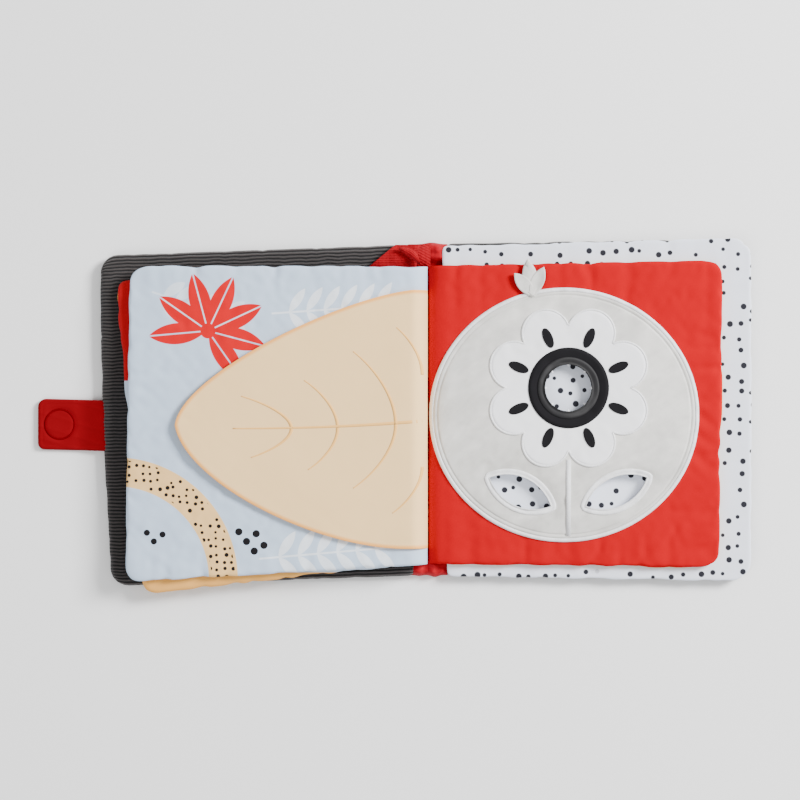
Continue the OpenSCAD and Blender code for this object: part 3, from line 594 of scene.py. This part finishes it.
def makeThread(name, hexColour, gloss):
    # Satin stitch: parallel shiny threads across the band, with a line of light along its crown
    material = bpy.data.materials.new(name)
    material.use_nodes = True
    tree = material.node_tree
    shader = tree.nodes["Principled BSDF"]
    shader.inputs["Roughness"].default_value = gloss
    shader.inputs["Anisotropic"].default_value = 0.5
    place = addNode(tree, "TexCoord").outputs["Object"]
    across = addNode(tree, "UVMap", {"uv_map": "cells"}).outputs[0]
    strands = addNode(tree, "TexWave", {"bands_direction": "X", "Scale": 60.0, "Distortion": 0.8}, {"Vector": across})
    spots = addNode(tree, "TexNoise", {"Scale": 1400.0, "Detail": 3}, {"Vector": place})
    tone = addNode(tree, "ValToRGB", None, {"Fac": spots.outputs[0]})
    base = linear(hexColour)
    tone.color_ramp.elements[0].color = [c * 0.78 for c in base[:3]] + [1]
    tone.color_ramp.elements[1].color = [min(1, c * 1.12 + 0.004) for c in base[:3]] + [1]
    tree.links.new(tone.outputs[0], shader.inputs["Base Color"])
    bump = addNode(tree, "Bump", {"Strength": 0.35, "Distance": 0.1 * mm}, {"Height": strands.outputs["Fac"]})
    tree.links.new(bump.outputs[0], shader.inputs["Normal"])
    return material


satinWhite = makeThread("satin_white", "#f2f2f5", 0.45)
satinBlack = makeThread("satin_black", "#131215", 0.72)
grosgrain = made["grosgrain"]
print("Materials made:", len(bpy.data.materials))


# Joining pieces to the bodies

def sewnTo(piece, half, slot, *nodes, flat=None, held="laid", rests=(), area=None, fill=None):
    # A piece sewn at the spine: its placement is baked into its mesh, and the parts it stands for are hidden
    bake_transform(piece)
    finishPiece(nodes)


def carriedBy(piece, body, slot, *nodes, flat=None, held="laid", rests=(), area=None, fill=None):
    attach(piece, body)
    finishPiece(nodes)


def finishPiece(nodes):
    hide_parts(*nodes)


# Covers and lining

frontCover = makePad("frontCover", {
    "corners": [turned(x, y, coverTurn) for x, y in ((-9.6, -86.3), (-168, -86.3), (-168, 86.3), (-9.6, 86.3))],
    "levels": (0, 6.4), "step": 2.8, "radii": (3, 9, 9, 3), "seed": 1, "soft": 3.6, "pull": 0.45, "crease": 0.22, "bow": -1.5,
    "creasePitch": 13, "creaseReach": 12, "sag": 0.22, "ribs": {"pitch": 1.8, "depth": 0.7, "wave": 1, "top": True}},
    made["corduroy"], levels=0)
backCover = makePad("backCover", {
    "corners": [(9.6, -86.6), (168, -88.8), (168, 89.2), (9.6, 86.8)],
    "levels": (0, 4.7), "step": 3.4, "radii": (3, 9, 9, 3), "seed": 2, "soft": 3.2, "pull": 0.8, "crease": 0.1,
    "creasePitch": 14, "creaseReach": 10, "sag": 0.1, "ribs": {"pitch": 1.8, "depth": 0.7, "wave": 1, "top": False}},
    made["corduroy"], levels=0)
lining = makePad("lining", {
    "corners": [(9.9, -87), (168.6, -89.6), (168.6, 89.8), (7.4, 85.4)],
    "levels": (4.5, 6.2), "step": 2.6, "radii": (3, 10, 10, 3), "seed": 3, "soft": 2.4, "pull": 0.9, "crease": 0.5,
    "creasePitch": 9, "creaseReach": 14, "sag": 0.2,
    "tucks": [((86.8, 88), (86, 79), 0.5), ((124.8, 88.6), (127, 80), 0.5), ((60, -88), (61, -80), 0.4)]},
    made["lining"])
carriedBy(frontCover, "front_half", "corduroy", "front_cover", fill=0.6)
carriedBy(backCover, "back_half", "corduroy", "back_cover", fill=0.6)
carriedBy(lining, "back_half", "lining_white", "back_lining", "lining_dots", fill=0.4)
print("Covers made")


# Pages

def seam(level):
    low = 1.9 + 0.6 * level
    return low, low + 0.6


flowerAt = Vector((72.9, 11.3))
leafWindows = [(Vector((72.9 + side * 25, -42.7)), side * math.radians(25)) for side in (-1, 1)]
roundRadius = 12.5


def awayFromRound(p):
    return (p - flowerAt).length - roundRadius


def awayFromLeaf(middle, angle):
    def away(p):
        x, y = turned(*(p - middle), -angle)
        return max(abs(y) - leafHalf(max(-1, min(1, x / 18)), 36, 16), abs(x) - 18)
    return away


pageCloth = {"mass": 0.2, "stiffness": 12, "bending": 0.25, "pressure": 1, "slack": 0.045, "filling": 7,
             "hold": 1.5, "seamWidth": 0.9, "frames": 20, "along": 0.9, "up": 0.6, "down": 1.2}
lowerPage = makePad("lowerPage", {
    "corners": [(0, -79.7), (-148, -96.2), (-163, 67.8), (0, 73.8)], "levels": (6.3, 10.3), "seam": seam(0), "step": 3,
    "radii": (3, 7, 7, 3), "seed": 4, "soft": 2.2, "pull": 1.3, "crease": 0.3, "creasePitch": 8, "creaseReach": 8,
    "sag": 0.25}, made["lower_page"])
upperPage = makePad("upperPage", {
    "corners": [(0, -80.4), (-157, -89.6), (-155, 74.9), (0, 74.4)], "levels": (10.7, 14.8), "seam": seam(2), "step": 2.6,
    "radii": (3, 8, 8, 3), "seed": 5, "soft": 2.4, "pull": 0.8, "crease": 0.75, "creasePitch": 12, "creaseReach": 13,
    "sag": 0.32, "cloth": pageCloth,
    "tucks": [((-120.8, 75), (-123, 66), 1.3), ((-80, 74.8), (-78.5, 66), 0.8), ((-138.3, -88.6), (-135, -79), 0.9),
              ((-116.8, -88), (-118.5, -78), 0.9)]}, made["page_pale"])
windowPage = makePad("windowPage", {
    "corners": [(0, -80.4), (151.5, -82.2), (153.2, 77.8), (0, 75)], "levels": (6.4, 10.6), "seam": seam(1), "step": 2.6,
    "radii": (3, 9, 9, 3), "seed": 6, "soft": 2.4, "pull": 0.7, "crease": 1.0, "creasePitch": 13, "creaseReach": 17,
    "sag": 0.3, "cloth": pageCloth,
    "pinches": [(awayFromRound, 0.6, 5), *((awayFromLeaf(m, a), 0.6, 5) for m, a in leafWindows)],
    "tucks": [((139.5, -1), (152, -12), 1.2), ((139.5, -12), (153.5, -24), 1.1), ((140, -24.5), (153.5, -34), 1.2),
              ((84.2, -81.5), (92, -66), 1.0), ((99.8, -81.5), (98, -66), 0.9), ((110.2, -81.6), (115, -64), 1.0),
              ((81.1, 77.5), (85, 67), 1.0), ((126.9, 77.8), (127.5, 70), 0.7)],
    "proud": [((152.5, 5), 19, 1.0), ((123, -82), 15, 0.8)]}, made["page_red"])
leftTop, rightTop = surfaceOf(upperPage), surfaceOf(windowPage)


def prism(outline):
    bm = bmesh.new()
    corners = [bm.verts.new((x * mm, y * mm, -0.01)) for x, y in outline]
    face = bm.faces.new(corners)
    raised = bmesh.ops.extrude_face_region(bm, geom=[face])["geom"]
    bmesh.ops.translate(bm, vec=(0, 0, 0.04), verts=[g for g in raised if isinstance(g, bmesh.types.BMVert)])
    bmesh.ops.recalc_face_normals(bm, faces=bm.faces[:])
    mesh = bpy.data.meshes.new("prism")
    bm.to_mesh(mesh)
    bm.free()
    cutter = bpy.data.objects.new("prism", mesh)
    bpy.context.scene.collection.objects.link(cutter)
    return cutter


def settle(obj):
    # Keeps the shape that the modifiers give, and takes them off
    graph = bpy.context.evaluated_depsgraph_get()
    shaped = bpy.data.meshes.new_from_object(obj.evaluated_get(graph))
    obj.modifiers.clear()
    obj.data = shaped


def cutWindows(obj, outlines):
    settle(obj)
    for outline in outlines:
        cutter = prism(outline)
        cut = obj.modifiers.new("Window", "BOOLEAN")
        cut.operation, cut.solver, cut.object = "DIFFERENCE", "EXACT", cutter
        settle(obj)
        bpy.data.objects.remove(cutter)


def circleAt(middle, radius, count):
    return [(middle[0] + radius * math.cos(2 * math.pi * i / count),
             middle[1] + radius * math.sin(2 * math.pi * i / count)) for i in range(count)]


def leafAt(middle, angle, length=36, width=16):
    return [Vector(turned(x, y, angle)) + middle for x, y in leafOutline(length, width, 14)]


windows = [circleAt(flowerAt, roundRadius, 72), *(evenly(leafAt(m, a), 0.9) for m, a in leafWindows)]
cutWindows(windowPage, windows)
sewnTo(lowerPage, "front_half", "page_pale", "lower_left_page", "lower_page_margin", "lower_page_red_print",
       "lower_page_tan_print", fill=0.5)
sewnTo(upperPage, "front_half", "page_pale", "upper_left_page", "upper_page_margin", "red_leaf_print",
       "white_spray_prints", "tan_band_print", fill=0.5)
sewnTo(windowPage, "back_half", "page_red", "window_page", "window_page_margin", fill=0.5)
print("Pages made")


# Appliqué on the window page

def disc(outline, centre, rings):
    # Flat slab inside an outline: rings are shares of the way from the centre
    bm = slab(len(outline), len(rings) - 1, wrap=True, toPoint=rings[0] == 0)
    def at(x, y):
        edge = Vector(outline[round(x * len(outline)) % len(outline)][:2])
        return tuple(Vector(centre).lerp(edge, rings[round(y * (len(rings) - 1))]))
    return bm, at


def applique(name, outline, centre, rings, lift, thick, material):
    bm, at = disc(outline, centre, rings)
    layOn(bm, at, rightTop, lift, thick, windowTop)
    return toObject(bm, name, material)


patchAt = Vector((70.7, -2.7))
patchEdge = [(patchAt.x + 69 * math.cos(2 * math.pi * i / 180), patchAt.y + 65 * math.sin(2 * math.pi * i / 180))
             for i in range(180)]
patchRings = [0.94 * i / 32 for i in range(33)] + [0.947, 0.952, 0.957, 0.962, 0.967, 0.974, 0.985]
bm, patchSpot = disc(patchEdge, patchAt, patchRings)


def quilted(x, y):
    # The velour is sewn down once more, a little inside its edge
    ring = patchRings[round(y * (len(patchRings) - 1))]
    return *patchSpot(x, y), -0.5 * math.exp(-((ring - 0.957) / 0.006) ** 2)


velour = toObject(layOn(bm, quilted, rightTop, 0.05, 0.75, windowTop), "velourPatch", made["velour"])
cutWindows(velour, windows)
patchRim = stitchedBand(evenly(patchEdge, 0.8), [(1.1, 0.05), (1.05, 0.5), (0.4, 1.05), (-0.4, 1.05), (-0.9, 0.8),
                                                 (-1, 0.3)], rightTop, "patchEdgeStitching", satinWhite)


def petalEdge(turn):
    # Flower of eight round petals
    part = 2 * math.pi / 8
    local = (turn % part) - part / 2
    reach, round8 = 30.6, 12.4
    return reach * math.cos(local) + math.sqrt(max(0, round8 ** 2 - (reach * math.sin(local)) ** 2))


petalOutline = [flowerAt + Vector((math.cos(t), math.sin(t))) * petalEdge(t)
                for t in (2 * math.pi * i / 192 for i in range(192))]
petals = applique("flowerPetals", petalOutline, flowerAt, [roundRadius / 37, *(0.4 + 0.6 * i / 12 for i in range(13))],
                  0.7, 0.45, made["cotton_white"])
petalHem = stitchedBand(evenly(petalOutline, 0.7), [(0.5, 0.72), (0.42, 1.2), (-0.1, 1.36), (-0.6, 1.18), (-0.7, 0.8)],
                        rightTop, "petalStitching", satinWhite)
heart = applique("flowerHeart", circleAt(flowerAt, 21, 96), flowerAt, [12.6 / 21, 0.7, 0.8, 0.9, 1], 1.14, 0.35,
                 made["cotton_black"])
marks = []
for i in range(8):
    turn = (i + 0.5) * math.pi / 4
    middle = flowerAt + Vector((math.cos(turn), math.sin(turn))) * 28
    outline = [Vector(turned(5.5 * math.cos(t), 2.5 * math.sin(t), turn)) + middle
               for t in (2 * math.pi * k / 28 for k in range(28))]
    marks.append(applique("petalMark%d" % i, outline, middle, [0, 0.5, 0.88, 1], 1.14, 0.3, made["cotton_black"]))
stem = applique("flowerStem", [(71.7, -65.6), (74.1, -65.6), (74.1, -26), (71.7, -26)], (72.9, -45), [0, 1], 0.7, 0.4,
                satinWhite)
sprig = []
lean = math.radians(104)
foot = patchAt + Vector((69 * math.cos(lean), 65 * math.sin(lean)))
for number, (turn, length, width) in enumerate(((66, 17, 7), (98, 20, 8), (132, 16, 7))):
    angle = math.radians(turn)
    middle = foot + Vector((math.cos(angle), math.sin(angle))) * (length / 2 - 2)
    leaf = [Vector(turned(x, y, angle)) + middle for x, y in leafOutline(length, width, 12)]
    bm, at = disc(leaf, middle, [0, 0.3, 0.6, 0.85, 1])
    def loose(x, y, at=at, foot=foot, length=length):
        px, py = at(x, y)
        return px, py, 1.6 * ((Vector((px, py)) - foot).length / length) ** 2
    sprig.append(toObject(layOn(bm, loose, rightTop, 0.6, 0.9, windowTop), "velourSprig%d" % number, made["velour"]))

rimShape = [(3.6, 0.02), (3.4, 0.45), (2.4, 0.72), (1.2, 0.72), (0.1, 0.45), (-0.35, 0, 12.1), (-0.4, 0, 6.7),
            (0.3, 0, 6.7)]
roundRim = stitchedBand(circleAt(flowerAt, roundRadius, 150), [(d, h[0] + 1.4) if len(h) < 2 else (d, *h)
                                                              for d, *h in rimShape], rightTop, "roundWindowRim",
                        satinBlack, tooth=0.16)
leafRims = [stitchedBand(evenly(leafAt(m, a), 0.62), [(d * 0.72, h[0] + 0.7) if len(h) < 2 else (d, 0, min(h[1], 11.2))
                                                    for d, *h in rimShape], rightTop, "leafWindowRim%d" % i,
                         satinWhite) for i, (m, a) in enumerate(leafWindows)]

sewnTo(velour, "back_half", "velour_grey", "velour_patch", flat=(0.138, 0.13), area=0.0129, rests=["windowPage"])
sewnTo(patchRim, "back_half", "satin_white", "patch_edge_stitching")
carriedBy(petals, "back_half", "cotton_white", "flower_petals", flat=(0.08, 0.08), area=0.0042, rests=["velourPatch"])
carriedBy(petalHem, "back_half", "satin_white")
carriedBy(heart, "back_half", "cotton_black", "flower_heart", flat=(0.042, 0.042), area=0.00089, rests=["flowerPetals"])
for mark in marks:
    carriedBy(mark, "back_half", "cotton_black", "petal_marks")
carriedBy(stem, "back_half", "satin_white", "flower_stem")
carriedBy(roundRim, "back_half", "satin_black", "round_window_rim")
for rim in leafRims:
    carriedBy(rim, "back_half", "satin_white", "leaf_window_rims")
for leaf in sprig:
    carriedBy(leaf, "back_half", "velour_grey", "velour_sprig")
print("Appliqué made")


# Leaf flap

def pull(a, b, c, d, t):
    return a * (1 - t) ** 3 + b * 3 * t * (1 - t) ** 2 + c * 3 * t * t * (1 - t) + d * t ** 3


flapTip = Vector((-131, -8))
flapSides = [(Vector((-8, 62)), Vector((-46, 58)), Vector((-128, 18)), flapTip),
             (Vector((-8, -72)), Vector((-56, -73.5)), Vector((-126, -38)), flapTip)]
flapLines = [[pull(*side, i / 60) for i in range(61)] for side in flapSides]
flapEdge = [Vector((0, 62)), *flapLines[0], *reversed(flapLines[1][:-1]), Vector((0, -72))]


def sideAt(line, x):
    if x > line[0].x:
        return line[0].y
    for a, b in zip(line, line[1:]):
        if b.x <= x:
            return a.y + (b.y - a.y) * (a.x - x) / max(1e-9, a.x - b.x)
    return line[-1].y


def toLine(p, line):
    best = 1e9
    for a, b in zip(line, line[1:]):
        run = b - a
        t = max(0, min(1, (p - a).dot(run) / run.length_squared))
        best = min(best, (p - a - run * t).length)
    return best


def makeFlap(rows):
    reach = -flapTip.x
    xs = [0, 0.3, 0.8, 1.5, 2.4, 3.5, 4.8, 6.3, 8, *(reach - (reach - 10) * (1 - i / 56) ** 1.8 for i in range(57))]
    columns = len(xs) - 1
    bm = slab(columns, rows)
    edge = bm.verts.layers.float.new("edge")
    side = bm.verts.layers.float.new("side")
    shape = {}
    for v in bm.verts:
        along, across, top = v.co.x, v.co.y, v.co.z > 0.5
        across = 0.5 - 0.5 * math.cos(math.pi * across) if 0.001 < across < 0.999 else round(across)
        x = -xs[round(along * columns)]
        upper, lower = sideAt(flapLines[0], x), sideAt(flapLines[1], x)
        p = Vector((x, lower + (upper - lower) * across))
        spot = (round(p.x, 3), round(p.y, 3))
        if spot not in shape:
            rim = toLine(p, flapEdge)
            fold = crease(p.y, 12, 8) * math.exp(p.x / 30) + crease(p.x * 0.7 + p.y, 16, 9) * math.exp(-rim / 9)
            plump = math.sqrt(max(0, 1 - (1 - min(rim, 1.6) / 1.6) ** 2))
            rise = 0.35 * noise.noise(Vector((p.x / 30, p.y / 30, 9.1))) + 0.5 * (1 - plump)
            bed = leftTop(p.x, p.y, pageTop) if p.x < -hingeX else pageTop
            shape[spot] = (rim, fold, plump, rise, bed)
        rim, fold, plump, rise, bed = shape[spot]
        out = min(1, max(0, -p.x / 131))
        base = 0.75 * pageTop + 0.25 * bed + 0.5 + rise + 1.3 * out * out
        z = base + 0.8 + (0.8 * plump if top else -0.8 * plump) - 0.28 * fold * (0.3 + 0.7 * min(1, rim / 3))
        t = min(1, abs(p.x) / hingeX)
        dive = math.sqrt(1 - (1 - t) ** 2)
        floor = seam(3)[1 if top else 0]
        v.co = (p.x, p.y, floor + dive * (z - floor))
        v[edge] = rim
        v[side] = 1 if top else 0
    return toObject(bm, "leafFlap", made["flap"], levels=1)


flap = makeFlap(60)
flapTop = surfaceOf(flap)


def vein(points, widths, name):
    # Thin printed line that tapers along a path
    count = 40
    bm = slab(count, 2)
    def at(x, y):
        t = round(x * count) / count
        here = pull(*points, t)
        run = (pull(*points, min(1, t + 0.01)) - pull(*points, max(0, t - 0.01))).normalized()
        width = widths[0] + (widths[1] - widths[0]) * t
        p = here + Vector((-run.y, run.x)) * (y - 0.5) * width
        return p.x, p.y
    layOn(bm, at, flapTop, 0.0, 0.07, pageTop + 2)
    return toObject(bm, name, made["flap_orange"])


veins = [vein((Vector((-101, -9.7)), Vector((-74, -9.7)), Vector((-40, -9)), Vector((-3, -5.8))), (0.6, 1.7), "midrib")]
for number, (up, down) in enumerate((((-70.7, -9.7, -96.6, 7), (-70.7, -9.7, -91.6, -24.7)),
                                     ((-46.8, -9.5, -64.2, 15.2), (-46.8, -9.5, -62.2, -31.1)),
                                     ((-16.8, -7.6, -38.8, 30.1), (-16.8, -7.6, -38.8, -40.6)),
                                     ((-3, 18.1, -16.4, 42.5), (-3, -29.6, -18.5, -53.5)))):
    for (x, y, tipX, tipY), name in ((up, "Upper"), (down, "Lower")):
        near = Vector((x, y + 0.4 * (tipY - y)))
        far = Vector((tipX + 0.45 * (x - tipX), tipY - 0.2 * (tipY - y)))
        veins.append(vein((Vector((x, y)), near, far, Vector((tipX, tipY))), (1.7, 0.5), "vein%s%d" % (name, number)))
sewnTo(flap, "front_half", "flap_cream", "leaf_flap", "flap_margin", fill=0.3)
for line in veins:
    sewnTo(line, "front_half", "flap_orange", "flap_veins")
berries = []
for number, (x, y, r) in enumerate([(-94 + a, -68.2 + b, 1.9) for a, b in ((0, 0), (5, 4), (-4, 5), (9, -2), (4, -5))]
                                   + [(-142 + a, -68.2 + b, 1.6) for a, b in ((0, 0), (4.5, 3.6), (-3.6, 4.5))]):
    bm, at = disc(circleAt((x, y), r, 20), (x, y), [0, 0.7, 1])
    berries.append(toObject(layOn(bm, at, leftTop, 0.0, 0.06, pageTop), "berry%d" % number, made["print_black"]))
    carriedBy(berries[-1], "front_half", "print_black", "black_dot_prints")
print("Flap made")


# Spine, ribbon and stitching

def spineStrip(side):
    # Gathered strip from the spine's middle to one half; its ends bunch up past the leaves
    columns, rows = 14, 260
    bm = slab(columns, rows)
    for v in bm.verts:
        x, top = side * (10.8 * v.co.x - 0.4), v.co.z > 0.5
        y = (v.co.y - 0.5) * 173
        over = abs(y) - 75.5
        swell = max(0.0, min(1.0, over / 4)) ** 2 * (3 - 2 * max(0.0, min(1.0, over / 4)))
        roll = math.sqrt(max(0.0, 1 - (max(0.0, abs(y) - 83) / 3.5) ** 2))
        gather = noise.noise(Vector((y / 1.5, 0.3 * x, 2.2)))
        deep = noise.noise(Vector((y / 3.5, x / 4, 5.1)))
        bunch = 1 - min(1, abs(abs(x) - (4.2 if y > 0 else 3.2)) / 11)
        z = 1.8 + 0.25 * gather if top else 0.05
        if top:
            z += swell * (0.6 + 3.6 * bunch + 1.3 * deep + 0.7 * gather)
            z = 0.3 + (z - 0.3) * roll
        lobe = 1.1 * math.exp(-((x - 3.6) / 2.4) ** 2) + 0.5 * math.exp(-((x + 4.4) / 2.4) ** 2) if y < 0 else \
            0.9 * math.exp(-((x - 2) / 4) ** 2)
        v.co = (x, y + math.copysign(lobe, y) * max(0.0, min(1.0, over / 6)), z)
    return toObject(bm, "spineStripLeft" if side < 0 else "spineStripRight", made["spine_red"], levels=1)


for side, half in ((-1, "front_half"), (1, "back_half")):
    strip = spineStrip(side)
    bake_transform(strip)
    finishPiece(["spine_panel"])


def ply(name, corners, levels, material, bulge, ribs, sewn, bow):
    # Folded length of ribbon between four corners, with fine ribs along it and rows of stitches across its sewn end
    columns, rows = 30, ribs * 6
    bm = slab(columns, rows)
    a, b, c, d = (Vector(p) for p in corners)
    outward = Vector((a.y - b.y, b.x - a.x)).normalized()
    for v in bm.verts:
        x, y, top = v.co.x, v.co.y, v.co.z > 0.5
        p = a.lerp(b, x).lerp(d.lerp(c, x), y)
        p = p + outward * math.sin(math.pi * x) * (bow[0] + (bow[1] - bow[0]) * y)
        z = levels[0] + (levels[1] - levels[0]) * y + bulge * math.sin(math.pi * y) * (0.6 + 0.4 * math.sin(2.2 * x + 1))
        z += 0.4 * noise.noise(Vector((p.x / 3.2, p.y / 5, bulge)))
        if top:
            z += 0.7 + 0.15 * math.cos(2 * math.pi * ribs * y) * (2 * math.cos(2 * math.pi * sewn * x) if sewn else 1)
        v.co = (p.x, p.y, z)
    return toObject(bm, name, material)


plies = {
    "ribbonLoop": ([(-31, 74.2), (-6, 74.2), (-4.6, 85.7), (-17, 85.8)], (6.5, 6.7), 1.6, 13, 0, (0, 0), "ribbon_loop",
                   (0.012, 0.026)),
    "ribbonFold": ([(-15.4, 83.4), (-4.2, 75.6), (-4, 76.6), (-14.6, 84.2)], (9.6, 10.4), 1.5, 5, 0, (-0.5, 3.2),
                   "ribbon_loop", None),
    "ribbonEnd": ([(-6.4, 74.3), (1.2, 74.3), (1.4, 86.8), (-6.4, 86)], (3.6, 3.4), 3.2, 8, 3, (0, 0), "ribbon_end",
                  None)}
for name, (corners, levels, bulge, ribs, sewn, bow, node, flat) in plies.items():
    piece = ply(name, corners, levels, grosgrain, bulge, ribs, sewn, bow)
    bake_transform(piece)
    finishPiece([node])

stitches = []
for number in range(24):
    y = -69 + 5 * number + 1.5
    bm = bmesh.new()
    bmesh.ops.create_cube(bm, size=1)
    bmesh.ops.scale(bm, vec=(0.6, 3, 0.3), verts=bm.verts[:])
    bmesh.ops.bevel(bm, geom=bm.edges[:], offset=0.1, segments=2, profile=0.5, affect="EDGES", material=-1)
    bmesh.ops.translate(bm, vec=(0, y, 4.45), verts=bm.verts[:])
    stitch = toObject(bm, "stitch%02d" % number, made["thread_red"])
    carriedBy(stitch, "spine", "thread_red", "spine_stitching")
print("Spine made")


# Closing tab

tabShape = {"length": 39, "width": 26.6, "radii": (0.3, 3.5, 4.5, 0.3), "start": (-164.7, -20.8), "slant": 0.025,
            "lift": 2.1, "columns": 56, "rows": 44}

def tabLift(p):
    x = -p.x - 167.5
    t = max(0, min(1, x / 16))
    return tabShape["lift"] * (1 - t * t * (3 - 2 * t)) - 0.2 * noise.noise(Vector((p.x / 7, p.y / 9, 4.4)))


def makeTab():
    bm = slab(tabShape["columns"], tabShape["rows"])
    length, width = tabShape["length"], tabShape["width"]
    side = bm.verts.layers.float.new("side")
    for v in bm.verts:
        top = v.co.z > 0.5
        x, y, d = intoCorner(v.co.x * length, v.co.y * width, length, width, tabShape["radii"], True)
        p = Vector((tabShape["start"][0] - x, tabShape["start"][1] + y - tabShape["slant"] * (length - x)))
        plump = math.sqrt(max(0, 1 - (1 - min(d, 1.2) / 1.2) ** 2))
        ring = abs((p - Vector(closerAt)).length - 8)
        z = (1.9 if top else 0.05) if plump > 0 else 0.9
        z = 0.95 + (z - 0.95) * plump
        hem = math.exp(-((d - 2.6) / 0.5) ** 2)
        if top:
            z += 0.3 - 0.3 * math.exp(-(ring / 0.9) ** 2) - 0.12 * hem + 0.16 * crease(p.y + p.x * 0.3, 9, 11)
        v.co = (p.x, p.y, z + tabLift(p))
        v[side] = 1 if top else 0
    return toObject(bm, "closingTab", made["tab_red"], levels=1)


closerAt = (-192.1, -7.6)
tab = makeTab()
tabTop = surfaceOf(tab)
carriedBy(tab, "front_half", "tab_red", "closing_tab", fill=0.2)
ring = stitchedBand(circleAt(closerAt, 7.7, 90), [(0.45, 0.02), (0.3, 0.25), (-0.3, 0.25), (-0.45, 0.02)], tabTop,
                    "tabRing", made["thread_wine"])
carriedBy(ring, "front_half", "tab_red", "tab_stitching")
for name, body, at, material, slotName, node in (
        ("tabCloser", "front_half", closerAt, "closer_dark", "closer_red", "tab_closer"),
        ("coverCloser", "back_half", (153.2, -8), "closer_grey", "closer_grey", "cover_closer")):
    bm, spot = disc(circleAt(at, 8, 64), at, [0, 0.5, 0.92, 1])
    layOn(bm, spot, lambda x, y, otherwise: 0, 0.02, 0.78)
    closer = toObject(bm, name, made[material])
    carriedBy(closer, body, slotName, node)
print("Tab made")


# Light, floor and camera

bpy.ops.mesh.primitive_plane_add(size=6, location=(0, 0, -0.0004))
floor = bpy.context.active_object
floor.name = "floor"
floorMaterial = bpy.data.materials.new("floorPaper")
floorMaterial.use_nodes = True
floorMaterial.node_tree.nodes["Principled BSDF"].inputs["Base Color"].default_value = linear("#fbfbfb")
floorMaterial.node_tree.nodes["Principled BSDF"].inputs["Roughness"].default_value = 0.9
floor.data.materials.append(floorMaterial)

world = bpy.data.worlds.new("studio")
bpy.context.scene.world = world
world.use_nodes = True
world.node_tree.nodes["Background"].inputs[0].default_value = (1, 1, 1, 1)
world.node_tree.nodes["Background"].inputs[1].default_value = 0.68
for name, place, size, power in (("key", (1.35, 0.7, 1.0), 0.6, 82), ("fill", (-1.0, -1.1, 1.5), 1.5, 18)):
    data = bpy.data.lights.new(name, "AREA")
    data.energy, data.size = power, size
    lamp = bpy.data.objects.new(name, data)
    lamp.location = place
    lamp.rotation_euler = (Vector((0, 0, 0)) - Vector(place)).to_track_quat("-Z", "Y").to_euler()
    bpy.context.scene.collection.objects.link(lamp)

cameraData = bpy.data.cameras.new("camera")
cameraData.lens, cameraData.sensor_width = 129.8, 36
camera = bpy.data.objects.new("camera", cameraData)
camera.location = (-0.01456, 0.00502, 1.508)
bpy.context.scene.collection.objects.link(camera)
bpy.context.scene.camera = camera
